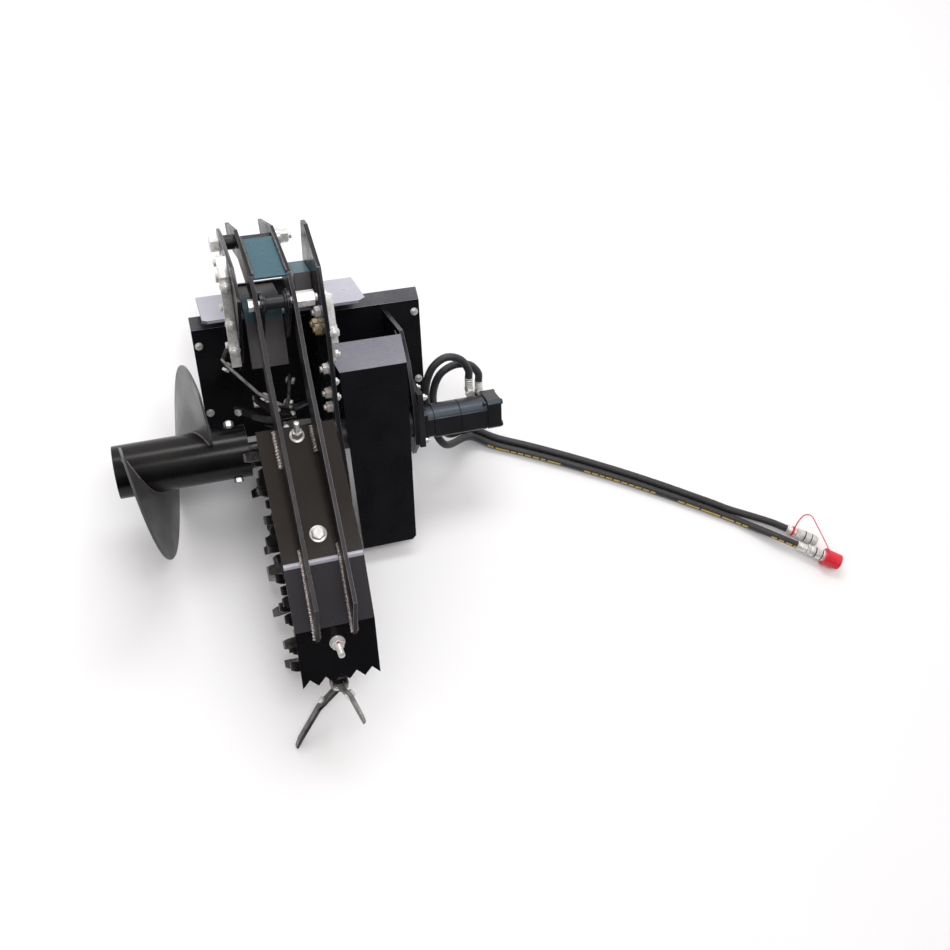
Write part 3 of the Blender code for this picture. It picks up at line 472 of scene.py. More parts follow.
# ------------------------------------------------------------------------------------ hoses
PORTS = ((0.530, 0.066, 0.075), (0.567, 0.092, 0.048))
HOSES = (
    {
        "arch": (
            (0.000, 0.000, 0.026),
            (-0.024, -0.002, 0.062),
            (-0.068, -0.002, 0.074),
            (-0.110, 0.002, 0.040),
            (-0.128, 0.010, -0.032),
            (-0.117, 0.012, -0.115),
            (-0.080, 0.002, -0.200),
        ),
        "lane": -0.0125,
        "far_lane": -0.021,
        "length": 0.960,
        "rest": CAP_RADIUS,
    },
    {
        "arch": (
            (0.000, 0.000, 0.026),
            (-0.026, -0.001, 0.056),
            (-0.072, 0.000, 0.062),
            (-0.115, 0.004, 0.036),
            (-0.134, 0.016, -0.026),
            (-0.124, 0.030, -0.100),
            (-0.092, 0.034, -0.170),
        ),
        "lane": 0.0125,
        "far_lane": 0.021,
        "length": 0.925,
        "rest": COUPLER_RADIUS,
    },
)


def ground_run(along, side, height):
    lean = -0.423 - 0.296 * along
    across = Vector((-lean, 1.0)).normalized() * side
    place = Vector((0.535 + along, 0.024 - 0.423 * along - 0.148 * along**2)) + across
    return Vector((CENTRE.x + place.x, CENTRE.y + place.y, height))


def smooth_path(knots, spacing):
    """Points at even spacing along a curve that runs smoothly through the knots."""
    ends = [2 * knots[0] - knots[1], *knots, 2 * knots[-1] - knots[-2]]
    fine = []
    for k in range(len(knots) - 1):
        a, b, c, d = ends[k : k + 4]
        for step in range(24):
            t = step / 24
            bend = (2 * a - 5 * b + 4 * c - d) * t**2 + (3 * b - a - 3 * c + d) * t**3
            fine.append((2 * b + (c - a) * t + bend) / 2)
    fine.append(knots[-1])
    points = [fine[0]]
    travelled = 0.0
    for first, last in zip(fine, fine[1:]):
        travelled += (last - first).length
        if travelled >= spacing:
            points.append(last)
            travelled = 0.0
    if travelled > 0.4 * spacing:
        points.append(fine[-1])
    else:
        points[-1] = fine[-1]
    return points


def hose_path(number):
    hose = HOSES[number]
    x, y, z = PORTS[number]
    knots = [ROOT @ Vector((x, y, z + 0.0015))]
    knots += [ROOT @ Vector((x + dx, y + dy, z + dz)) for dx, dy, dz in hose["arch"]]
    rest = HOSE_RADIUS + 0.0016
    last = hose["length"]
    knots.append(ground_run(0.020, hose["lane"], rest + 0.024))
    knots += [ground_run(s, hose["lane"], rest) for s in (0.10, 0.22, 0.38, 0.54, 0.70, last - 0.16)]
    high = hose["rest"] + 0.0036
    middle = (hose["lane"] + hose["far_lane"]) / 2
    knots.append(ground_run(last - 0.10, middle, (rest + high) / 2))
    knots.append(ground_run(last - 0.04, hose["far_lane"], high))
    knots.append(ground_run(last, hose["far_lane"], high))
    return smooth_path(knots, 0.010)


def add_hose(number):
    path = hose_path(number)
    data = bpy.data.curves.new(f"hose_{number + 1}_cover", "CURVE")
    data.dimensions = "3D"
    data.bevel_depth = HOSE_RADIUS
    data.bevel_resolution = 6
    data.use_fill_caps = True
    spline = data.splines.new("POLY")
    spline.points.add(len(path) - 1)
    for point, place in zip(spline.points, path):
        point.co = (*place, 1.0)
    data.materials.append(RUBBER)
    item = bpy.data.objects.new(f"hose_{number + 1}_cover", data)
    bpy.context.scene.collection.objects.link(item)
    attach(item, "frame")
    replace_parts(item, f"hose_{number + 1}")
    return item, path


def add_lay_line(number, path, side):
    """Dashes of plain yellow print along the hose, with short gaps between the groups."""
    bm = bmesh.new()
    travelled = 0.0
    start = 0.62
    for first, last in zip(path, path[1:]):
        length = (last - first).length
        along = (last - first).normalized()
        steps = max(1, round(length / 0.006))
        for k in range(steps):
            place = travelled + length * k / steps
            if place < start or (place % 0.31) > 0.24 or (place % 0.024) > 0.0190:
                continue
            here = first.lerp(last, k / steps)
            there = first.lerp(last, (k + 0.85) / steps)
            across = along.cross(Vector((0.0, 0.0, 1.0))).normalized() * side
            up = across.cross(along).normalized()
            up = up if up.z > 0 else -up
            corners = []
            for spot, turn in ((here, 0.16), (there, 0.16), (there, 0.68), (here, 0.68)):
                out = across * math.cos(turn) + up * math.sin(turn)
                corners.append(bm.verts.new(spot + out * (HOSE_RADIUS + 0.0003)))
            bm.faces.new(corners)
        travelled += length
    made = bmesh.ops.extrude_face_region(bm, geom=bm.faces[:])
    moved = [v for v in made["geom"] if isinstance(v, bmesh.types.BMVert)]
    bmesh.ops.translate(bm, vec=(0.0, 0.0, 0.0002), verts=moved)
    return add_piece(f"hose_{number + 1}_print", bm, "frame", PRINT, Matrix.Identity(4))


def add_coupler(number, path):
    """Crimped ferrule, hexagon and quick coupler with its grooves and collar."""
    aim = (path[-1] - path[-2]).normalized()
    start = path[-1] + aim * 0.0003
    bm = bmesh.new()
    ferrule = [(0.0, 0.0), (0.0, 0.0132), (0.0015, 0.0142)]
    for k in range(4):
        ferrule += [(0.004 + 0.006 * k, 0.0142), (0.0052 + 0.006 * k, 0.0128), (0.0072 + 0.006 * k, 0.0128)]
    ferrule += [(0.030, 0.0142), (0.033, 0.0120), (0.034, 0.0)]
    put_turned(bm, start, aim, ferrule, 36)
    put_hexagon(bm, start + aim * 0.0335, aim, 0.0285, 0.011)
    body = [(0.0, 0.0), (0.0, 0.0135), (0.003, 0.0165), (0.014, 0.0165), (0.0148, 0.0150), (0.0175, 0.0150)]
    body += [(0.0183, COUPLER_RADIUS), (0.036, COUPLER_RADIUS), (0.037, 0.0162), (0.041, 0.0162)]
    body += [(0.042, COUPLER_RADIUS), (0.053, COUPLER_RADIUS), (0.0545, 0.0150), (0.0595, 0.0150)]
    body += [(0.0595, 0.0105), (0.050, 0.0095), (0.050, 0.0)]
    put_turned(bm, start + aim * 0.0445, aim, body, 40)
    name = f"hose_coupler_{number + 1}_finished"
    item = add_piece(name, bm, "frame", ZINC, Matrix.Identity(4), 0.0003, 30.0)
    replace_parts(item, f"hose_coupler_{number + 1}")
    bands = bmesh.new()
    inside = COUPLER_RADIUS - 0.0008
    band = [(0.0, 0.0), (0.0, inside), (0.0028, inside), (0.0028, 0.0)]
    for along in (0.0595, 0.0815):
        put_turned(bands, start + aim * along, aim, band, 36)
    name = f"coupler_{number + 1}_seals"
    seals = add_piece(name, bands, "frame", RUBBER, Matrix.Identity(4))
    return [item, seals], start, aim


def add_cap(start, aim):
    """Ribbed red dust cap over the coupler's mouth."""
    bm = bmesh.new()
    sides = 60
    turn = aim.to_track_quat("Z", "X").to_matrix()
    base = start + aim * (0.034 + 0.070 - 0.012)
    rings = []
    profile = [(0.0, COUPLER_RADIUS + 0.0006, 0), (0.0, 0.0235, 0), (0.002, 0.0252, 0), (0.006, 0.0258, 0)]
    profile += [(0.008, 0.0245, 1), (0.047, 0.0235, 1), (0.049, 0.0246, 0), (0.0530, 0.0243, 0)]
    profile += [(0.0545, 0.0226, 0), (0.0545, 0.0170, 0), (0.0533, 0.0160, 0), (0.0533, 0.0040, 0)]
    for along, radius, ribbed in profile:
        ring = []
        for k in range(sides):
            out = radius + (0.0012 if ribbed and k % 3 == 0 else 0.0)
            ring.append(bm.verts.new(base + around(turn, out, 2 * math.pi * k / sides, along)))
        rings.append(ring)
    for first, last in zip(rings, rings[1:]):
        for k in range(sides):
            nxt = (k + 1) % sides
            bm.faces.new((first[k], first[nxt], last[nxt], last[k]))
    bm.faces.new(rings[-1])
    inner = [bm.verts.new(v.co + aim * 0.014) for v in rings[0]]
    for k in range(sides):
        nxt = (k + 1) % sides
        bm.faces.new((rings[0][nxt], rings[0][k], inner[k], inner[nxt]))
    bm.faces.new(inner[::-1])
    item = add_piece("dust_cap_finished", bm, "frame", RED, Matrix.Identity(4), 0.0004, 32.0)
    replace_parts(item, "dust_cap")
    return item, base


def put_tube(bm, points, radius, sides=10, flatten=1.0):
    """A round or flattened cord swept along points, closed at both ends."""
    rings = []
    previous = None
    for k, point in enumerate(points):
        ahead = (points[min(k + 1, len(points) - 1)] - points[max(k - 1, 0)]).normalized()
        if previous is None:
            side = ahead.orthogonal().normalized()
        else:
            side = (previous - ahead * previous.dot(ahead)).normalized()
        previous = side
        other = ahead.cross(side)
        width = radius(k / (len(points) - 1)) if callable(radius) else radius
        ring = []
        for j in range(sides):
            angle = 2 * math.pi * j / sides
            out = side * (width * math.cos(angle)) + other * (width * flatten * math.sin(angle))
            ring.append(bm.verts.new(point + out))
        rings.append(ring)
    for first, last in zip(rings, rings[1:]):
        for j in range(sides):
            nxt = (j + 1) % sides
            bm.faces.new((first[j], first[nxt], last[nxt], last[j]))
    bm.faces.new(rings[0][::-1])
    bm.faces.new(rings[-1])


def add_lanyard(start, aim, cap_base, other_start):
    """Moulded strap from a clip on the hose end, up over the couplers and down to the cap."""
    up = Vector((0.0, 0.0, 1.0))
    side = up.cross(aim).normalized()
    clip = other_start + aim * 0.020
    points = [
        clip + up * 0.015,
        clip + up * 0.030 + side * 0.020,
        clip + up * 0.036 + side * 0.048 + aim * 0.012,
        clip + up * 0.034 + side * 0.058 + aim * 0.036,
        clip + up * 0.030 + side * 0.040 + aim * 0.060,
        cap_base + up * 0.033 + side * 0.022 - aim * 0.010,
        cap_base + up * 0.0275 + side * 0.006 + aim * 0.004,
    ]
    bm = bmesh.new()
    put_tube(bm, smooth_path(points, 0.004), 0.0022, 10, 0.7)
    for place, radius in ((other_start + aim * 0.020, 0.0152), (cap_base + aim * 0.005, 0.0266)):
        inside, outside = radius - 0.0018, radius + 0.0006
        ring = [(-0.003, inside), (-0.003, outside), (0.003, outside), (0.003, inside)]
        rings = put_turned(bm, place, aim, ring, 40)
        for k in range(40):
            nxt = (k + 1) % 40
            bm.faces.new((rings[3][k], rings[3][nxt], rings[0][nxt], rings[0][k]))
    return add_piece("cap_lanyard", bm, "frame", RED, Matrix.Identity(4), 0.0, 50.0)


def add_hose_set():
    covers = [add_hose(k) for k in range(2)]
    ends = [add_coupler(k, covers[k][1]) for k in range(2)]
    cap, cap_base = add_cap(ends[0][1], ends[0][2])
    lanyard = add_lanyard(ends[0][1], ends[0][2], cap_base, ends[1][1])
    prints = [add_lay_line(0, covers[0][1], 1.0), add_lay_line(1, covers[1][1], -1.0)]


add_hose_set()


# ------------------------------------------------------------- CAD nodes with finished edges
def refine_nodes():
    plain = {
        "lower_lug_left": BLACK,
        "lower_lug_right": BLACK,
        "shelf_plate": SHELF,
        "side_plate_left": BLACK,
        "side_plate_right": BLACK,
        "motor_side_plate": BLACK,
        "tower_cross_plate": BLACK,
        "tower_stop_block": BLOCK,
        "pivot_lug_left": BLACK,
        "pivot_lug_right": BLACK,
        "boom_bar": BLACK,
        "boom_bracket": BLACK,
        "nose_fork": BLACK,
        "auger_tube": TUBE,
        "auger_hub": BLACK,
    }
    # Their bevel faces take the lighter edge colour: partly wear, partly painted highlight.
    for node, look in plain.items():
        refine(node, look, 0.0012, WORN_BEVEL_SHEEN)
    # The mount plate's and the arms' bevels carry a pale painted highlight.
    refine("mount_plate", PLATE, 0.0034, BEVEL_HIGHLIGHT, 30.0, 3)
    refine("hood", HOOD, 0.0060, HOOD, 20.0, 4)
    refine("chain_guard", GUARD, 0.0010, WORN_BEVEL_SHEEN)
    refine("crumber_top_plate", TEAL, 0.0009, WORN_BEVEL_SHEEN)
    refine("crumber_arm_left", ARM, 0.0018, BEVEL_HIGHLIGHT)
    refine("crumber_arm_right", ARM, 0.0018, BEVEL_HIGHLIGHT)
    shoe = refine("crumber_shoe", SHOE, 0.0026, WORN_BEVEL_SHEEN, 15.0, 3)
    # Faces of the shoe's middle section, picked by how they lean, take the lighter painted-light colour.
    shoe.data.materials.append(SHOE_MIDDLE_SHEEN)
    for face in shoe.data.polygons:
        if 0.85 < face.normal.z < 0.95:
            face.material_index = 2
    for node in ("bearing_housing", "motor_flange", "pivot_tube", "stop_pin_spacer"):
        refine(node, CAST, 0.0015)
    for node in ("head_shaft", "head_sprocket", "shaft_bearing_1", "shaft_bearing_2", "nose_idler"):
        refine(node, STEEL, 0.0008)
    for node in ("link_bar_left", "link_bar_right", "idler_axle"):
        refine(node, ZINC, 0.0008)
    for node in ("clamp_bolt_1", "clamp_bolt_2", "auger_bolt"):
        refine(node, ZINC, 0.0008)
    for node in ("pivot_bolt", "stop_pin"):
        refine(node, ZINC, 0.0009)


refine_nodes()


# ---------------------------------------------------------------------------- chain and teeth
LINKS = 40
LUGS, SIDE_LUGS = 44, 26
CHAIN_ROLLER = ((0.0, 0.0), (0.0, 0.0078), (0.0012, 0.0088), (0.0160, 0.0088))
CHAIN_ROLLER += ((0.0172, 0.0078), (0.0172, 0.0))
CHAIN_PIN = ((0.0, 0.0), (0.0, 0.0050), (0.0010, 0.0050), (0.0022, 0.0036), (0.0022, 0.0))
CHAIN_OUTSIDE = 0.012
CUTTERS = (
    (0.040, -1, 0.105, 0.140),
    (0.190, 1, 0.075, 0.050),
    (0.330, -1, 0.085, 0.135),
    (0.520, -1, 0.085, 0.130),
    (0.6637, 1, 0.127, 0.040),
    (0.7057, -1, 0.175, 0.135),
    (0.860, 1, 0.085, 0.080),
    (1.030, -1, 0.100, 0.120),
    (1.200, 1, 0.110, 0.070),
    (1.360, -1, 0.120, 0.120),
    (1.511, -1, 0.177, 0.145),
)


def chain_length():
    reach = math.acos((HEAD_PITCH - NOSE_PITCH) / NOSE_REACH)
    straight = NOSE_REACH * math.sin(reach)
    return 2 * straight + NOSE_PITCH * 2 * reach + HEAD_PITCH * (2 * math.pi - 2 * reach)


def chain_place(distance):
    """The (along, across, heading) of the pitch line a distance on from the top of the head."""
    head, nose = HEAD_PITCH, NOSE_PITCH
    reach = math.acos((head - nose) / NOSE_REACH)
    straight = NOSE_REACH * math.sin(reach)
    lean = math.pi / 2 - reach
    around_nose = nose * 2 * reach
    around_head = head * (2 * math.pi - 2 * reach)
    distance %= 2 * straight + around_nose + around_head
    if distance < straight:
        along = head * math.cos(reach) + distance * math.cos(lean)
        return along, head * math.sin(reach) - distance * math.sin(lean), -lean
    distance -= straight
    if distance < around_nose:
        turn = reach - distance / nose
        return NOSE_REACH + nose * math.cos(turn), nose * math.sin(turn), turn - math.pi / 2
    distance -= around_nose
    if distance < straight:
        turn = -reach
        along = NOSE_REACH + nose * math.cos(turn) - distance * math.cos(lean)
        return along, nose * math.sin(turn) - distance * math.sin(lean), lean - math.pi
    distance -= straight
    turn = -reach - distance / head
    return head * math.cos(turn), head * math.sin(turn), turn - math.pi / 2


def chain_frame(distance):
    """Turns (x, travel, outward) at a place on the chain into the plate frame."""
    along, across, heading = chain_place(distance)
    here = boom(along, across)
    ahead = boom(along + math.cos(heading), across + math.sin(heading)) - here
    up = heading + math.pi / 2
    out = boom(along + math.cos(up), across + math.sin(up)) - here
    rows = ((1.0, 0.0, 0.0, 0.0), (0.0, ahead.x, out.x, here.x), (0.0, ahead.y, out.y, here.y))
    return Matrix((*rows, (0.0, 0.0, 0.0, 1.0)))


def link_outline(length):
    """A waisted side plate round two pins."""
    outline = []
    for centre, start in ((length, -90.0), (0.0, 90.0)):
        for k in range(7):
            angle = math.radians(start + 30.0 * k)
            outline.append((centre + 0.0102 * math.cos(angle), 0.0102 * math.sin(angle)))
        outline.append((length / 2, 0.0078 if start < 0 else -0.0078))
    return outline


def add_chain():
    total = chain_length()
    pitch = total / LINKS
    plates = bmesh.new()
    rollers = bmesh.new()
    bushes = []
    for k in range(LINKS):
        here = chain_frame(k * pitch).translation
        there = chain_frame((k + 1) * pitch).translation
        ahead = (there - here).normalized()
        out = Vector((0.0, -ahead.z, ahead.y))
        if out.dot(chain_frame((k + 0.5) * pitch).to_3x3() @ Vector((0.0, 0.0, 1.0))) < 0:
            out = -out
        outer = k % 2
        low, high = (0.0128, 0.0160) if outer else (0.0090, 0.0122)
        for side in (-1, 1):
            put_prism(
                plates,
                link_outline((there - here).length),
                side * low,
                side * high,
                lambda u, v, w: here + ahead * u + out * v + Vector((w, 0.0, 0.0)),
            )
            bushes.append((here + Vector((side * 0.0158, 0.0, 0.0)), side))
        put_turned(rollers, here - Vector((0.0086, 0.0, 0.0)), (1, 0, 0), CHAIN_ROLLER, 20)
    for place, side in bushes:
        put_turned(plates, place, (side, 0, 0), CHAIN_PIN, 12)
    item = add_piece("chain_side_plates", plates, "frame", STEEL, bevel=0.0005, segments=1)
    add_piece("chain_rollers", rollers, "frame", STEEL)
    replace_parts(item, "digging_chain")


SPARE_TEETH = (
    (0.115, -1, 0.072, 0.118),
    (0.250, -1, 0.070, 0.124),
    (0.285, 1, 0.060, 0.090),
    (0.410, -1, 0.078, 0.112),
    (0.455, 1, 0.060, 0.085),
    (0.780, -1, 0.085, 0.122),
    (0.940, -1, 0.080, 0.128),
    (0.985, 1, 0.070, 0.095),
    (1.115, -1, 0.085, 0.118),
    (1.160, -1, 0.060, 0.100),
    (1.280, -1, 0.085, 0.122),
    (1.320, 1, 0.070, 0.080),
    (1.440, -1, 0.112, 0.126),
    (1.470, 1, 0.128, 0.036),
    (1.555, -1, 0.085, 0.085),
)


def put_tooth(bm, heads, place, side, reach, flare, sweep, tip_bolt=True):
    """A bolted foot, a bent arm that flares to one side and a hard-faced tip."""
    foot = CHAIN_OUTSIDE + 0.0008

    def put(u, v, w):
        return place @ Vector((side * u, w, v))

    base = [(-0.0215, -0.006), (-0.0165, -0.006), (-0.0165, foot), (0.0165, foot), (0.0165, -0.006)]
    base += [(0.0215, -0.006), (0.0215, foot + 0.0025), (0.0190, foot + 0.005), (-0.0190, foot + 0.005)]
    put_prism(bm, [*base, (-0.0215, foot + 0.0025)], -0.019, 0.019, put)
    rise = reach - foot
    line = [
        Vector((-0.008, foot + 0.004)),
        Vector((0.004, foot + 0.010)),
        Vector((flare * 0.42 + 0.004, foot + rise * 0.34)),
        Vector((flare * 0.90, foot + rise * 0.84)),
        Vector((flare - 0.001, reach - 0.004)),
    ]
    thick = (0.0055, 0.0055, 0.0050, 0.0046, 0.0034)
    wide = (0.016, 0.015, 0.0138, 0.0128, 0.0105)
    drift = (0.0, 0.0, 0.1, 0.75, 1.0)
    rings = []
    for k, spot in enumerate(line):
        ahead = (line[min(k + 1, 4)] - line[max(k - 1, 0)]).normalized()
        normal = Vector((-ahead.y, ahead.x)) * thick[k]
        ring = []
        for along, out in ((-1, -1), (1, -1), (1, 1), (-1, 1)):
            at = spot + normal * out
            ring.append(bm.verts.new(put(at.x, at.y, along * wide[k] + drift[k] * sweep)))
        rings.append(ring)
    for first, last in zip(rings, rings[1:]):
        for k in range(4):
            bm.faces.new((first[k], first[(k + 1) % 4], last[(k + 1) % 4], last[k]))
    bm.faces.new(rings[0][::-1])
    bm.faces.new(rings[-1])
    spots = [(Vector((-0.010, foot + 0.005)), 0.0, Vector((0.0, 1.0)))]
    slope = (line[2] - line[1]).normalized()
    normal = Vector((-slope.y, slope.x))
    if reach > 0.08:
        spots.append((line[1].lerp(line[2], 0.72) + normal * 0.0054, 0.05 * sweep, normal))
    if reach > 0.11 and tip_bolt:
        spots.append((line[3] + normal * 0.0045, 0.75 * sweep, normal))
    dome = [(0.0, 0.0), (0.0, 0.0105)]
    for turn in (15, 35, 55, 75):
        dome.append((0.0058 * math.sin(math.radians(turn)), 0.0105 * math.cos(math.radians(turn))))
    dome.append((0.0058, 0.0))
    for at, w, normal in spots:
        start = put(at.x, at.y, w)
        aim = put(at.x + normal.x, at.y + normal.y, w) - start
        put_turned(heads, start, aim, dome, 20)
        if at.y > foot + 0.006:
            put_hexagon(heads, start - aim * 0.0115, -aim, 0.019, 0.008)


def add_lugs(heads):
    """The short bolted feet between the teeth, each set a little differently."""
    bm = bmesh.new()
    total = chain_length()
    for k in range(LUGS):
        side = 1 if k % 3 == 1 else -1
        reach = 0.036 + 0.005 * (k * 7 % 5)
        flare = 0.050 + 0.006 * (k * 5 % 7)
        place = total * (k + 0.35) / LUGS
        if not 0.58 < place < 0.80:
            put_tooth(bm, heads, chain_frame(place), side, reach, flare, 0.007 * (k * 3 % 5 - 2))
    for k in range(SIDE_LUGS):
        reach = 0.046 + 0.005 * (k * 3 % 4)
        flare = 0.098 + 0.004 * (k * 5 % 7)
        put_tooth(bm, heads, chain_frame(0.030 + 0.0225 * k), -1, reach, flare, 0.006 * (k * 2 % 5 - 2))
    add_piece("chain_lugs", bm, "frame", LUG, bevel=0.0010)


def add_cutters():
    """The teeth on the chain, and the hooked blade on the one that stands over the head."""
    heads = bmesh.new()
    for number, (distance, side, reach, flare) in enumerate(CUTTERS):
        bm = bmesh.new()
        put_tooth(bm, heads, chain_frame(distance), side, reach, flare, 0.004, not 0.6 < distance < 0.8)
        if number == len(CUTTERS) - 1:
            place = chain_frame(distance)
            hook = ((0.140, 0.170), (0.124, 0.196), (0.110, 0.222))
            put_tube(bm, [place @ Vector((-x, 0.004, h)) for x, h in hook], 0.0085, 4, 0.5)
        name = f"cutter_{number + 1:02d}"
        item = add_piece(f"{name}_finished", bm, "frame", BLADE, bevel=0.0012)
        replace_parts(item, name)
    spare = bmesh.new()
    for k, (distance, side, reach, flare) in enumerate(SPARE_TEETH):
        put_tooth(spare, heads, chain_frame(distance), side, reach, flare, 0.010 if k % 2 else -0.008)
    add_piece("chain_teeth", spare, "frame", LUG, bevel=0.0012)
    add_lugs(heads)
    add_piece("cutter_bolts", heads, "frame", ZINC, bevel=0.0003, segments=1)


add_chain()
add_cutters()


# ------------------------------------------------------------------------------ auger flight
def add_flight():
    """One turn of right-handed flighting, with its weld beads along the tube."""
    bm = bmesh.new()
    steps = 180
    rings = []
    lines = ([], [])
    for k in range(steps + 1):
        share = k / steps
        turn = math.radians(40.0) + 2 * math.pi * share
        x = -0.431 + 0.222 * share
        ease = min(1.0, 12.0 * share + 0.45, 12.0 * (1.0 - share) + 0.45)
        outer = 0.0703 + (0.250 - 0.0703) * ease
        aim = Vector((0.0, -math.sin(turn), math.cos(turn)))
        ring = []
        shape = ((0.0706, -0.003), (0.160, -0.003), (outer - 0.0015, -0.003), (outer, -0.0015))
        shape += ((outer, 0.0015), (outer - 0.0015, 0.003), (0.160, 0.003), (0.0706, 0.003))
        for radius, side in shape:
            ring.append(bm.verts.new(aim * min(radius, outer) + Vector((x + side, 0.0, 0.0))))
        rings.append(ring)
        wobble = 0.0006 * math.sin(k * 1.9)
        for line, side in zip(lines, (-0.0045, 0.0045)):
            line.append(aim * (0.0718 + wobble) + Vector((x + side, 0.0, 0.0)))
    count = len(rings[0])
    for first, last in zip(rings, rings[1:]):
        for k in range(count):
            nxt = (k + 1) % count
            bm.faces.new((first[k], first[nxt], last[nxt], last[k]))
    bm.faces.new(rings[0][::-1])
    bm.faces.new(rings[-1])
    item = add_piece("auger_flight_finished", bm, "auger_drive", FLIGHT)
    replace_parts(item, "auger_flight")
    beads = bmesh.new()
    for line in lines:
        put_tube(beads, line, lambda share: 0.0026 + 0.0005 * math.sin(share * 520.0), 8)
    add_piece("auger_flight_welds", beads, "auger_drive", WELD, smooth=70.0)


add_flight()


# ------------------------------------------------------------------------- motor and fittings
def motor_section(scale, squared):
    """Round-backed housing: flat below and in front, rounded on top."""
    half = MOTOR_HALF * scale
    points = [(-half, -half + 0.006), (-half + 0.006, -half), (half - 0.006, -half), (half, -half + 0.006)]
    if squared:
        low = half - 0.010
        return [*points, (half, low), (low, half), (-low, half), (-half, low)]
    for k in range(9):
        turn = math.pi * k / 8
        points.append((half * 0.93 * math.cos(turn), half * 0.42 + half * 0.56 * math.sin(turn)))
    points.append((-half, half * 0.40))
    return points


def add_motor():
    bm = bmesh.new()

    def put(u, v, w):
        return Vector((w, u, v))

    for start, end, scale, squared in (
        (0.3646, 0.3760, 0.97, True),
        (0.3760, 0.3960, 0.90, False),
        (0.3960, 0.4700, 0.96, False),
        (0.4700, 0.4730, 0.92, False),
        (0.4730, 0.5480, 0.96, False),
        (0.5480, 0.5510, 0.92, False),
        (0.5510, 0.5905, 0.99, True),
    ):
        put_prism(bm, motor_section(scale, squared), start, end, put)
    for y, z in ((-0.034, 0.034), (0.034, 0.034), (-0.034, -0.034), (0.034, -0.034)):
        head = ((0, 0), (0, 0.0085), (0.0045, 0.0085), (0.0055, 0.0075), (0.0055, 0))
        put_turned(bm, (0.5900, y, z), (1, 0, 0), head, 20)
        put_hexagon(bm, (0.5450, y * 1.05, z * 1.05), (-1, 0, 0), 0.013, 0.006)
    plug = ((0, 0), (0, 0.010), (0.003, 0.010), (0.004, 0.009), (0.004, 0))
    put_turned(bm, (0.5900, -0.010, -0.012), (1, 0, 0), plug, 24)
    item = add_piece("hydraulic_motor_finished", bm, "frame", MOTOR, bevel=0.0012)
    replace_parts(item, "hydraulic_motor")


def add_ports():
    for number, (x, y, z) in enumerate(PORTS):
        bm = bmesh.new()
        level = z - 0.045
        start = Vector((x, MOTOR_HALF + 0.0003, level))
        put_hexagon(bm, start, (0, 1, 0), 0.0245, 0.012)
        reach = y - MOTOR_HALF
        body = [(0.0, 0.0), (0.0, 0.0085), (0.010, 0.0085), (reach - 0.008, 0.0100), (reach + 0.004, 0.0)]
        put_turned(bm, start + Vector((0.0, 0.004, 0.0)), (0, 1, 0), body, 24)
        riser = [(0.0, 0.0), (0.0, 0.0090), (0.003, 0.0112), (0.016, 0.0112), (0.018, 0.0096)]
        riser += [(0.020, 0.0096), (0.020, 0.0)]
        put_turned(bm, (x, y, z - 0.056), (0, 0, 1), riser, 24)
        put_hexagon(bm, (x, y, z - 0.037), (0, 0, 1), 0.0235, 0.012)
        ferrule = [(0.0, 0.0), (0.0, 0.0118)]
        for k in range(3):
            along = 0.007 * k
            ferrule += [(0.004 + along, 0.0124), (0.0052 + along, 0.0112), (0.0075 + along, 0.0112)]
        ferrule += [(0.0245, 0.0124), (0.0252, 0.0118), (0.0254, 0.0)]
        put_turned(bm, (x, y, z - 0.0254), (0, 0, 1), ferrule, 28)
        node = f"port_fitting_{number + 1}"
        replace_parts(add_piece(f"{node}_finished", bm, "frame", ZINC, bevel=0.0003, segments=1), node)


add_motor()
add_ports()


# --------------------------------------------------------------------------- bolts and welds
def put_bolt(bm, place, aim, across=0.024, height=0.011, washer=0.0155, stud=0.0):
    """A washer, a hexagon and, with a stud, the threaded end that stands through the nut."""
    place = Vector(place)
    aim = Vector(aim).normalized()
    base = place - aim * 0.0002
    if washer:
        ring = ((0.0, 0.0), (0.0, washer), (0.0014, washer), (0.0020, washer - 0.0008), (0.0020, 0.0))
        put_turned(bm, base, aim, ring, 28)
        base += aim * 0.0018
    put_hexagon(bm, base, aim, across, height)
    if stud:
        put_thread(bm, base + aim * (height - 0.001), aim, across * 0.30, stud)
    else:
        ring = ((0.0, 0.0), (0.0, across * 0.40), (0.0008, across * 0.38), (0.0008, 0.0))
        put_turned(bm, base + aim * (height - 0.0002), aim, ring, 24)


def put_mark(bm, place, aim, size=0.004):
    """A dab of torque-check paint."""
    dab = ((0.0, 0.0), (0.0, size), (0.0006, size * 0.8), (0.0010, 0.0))
    put_turned(bm, place, aim, dab, 12)


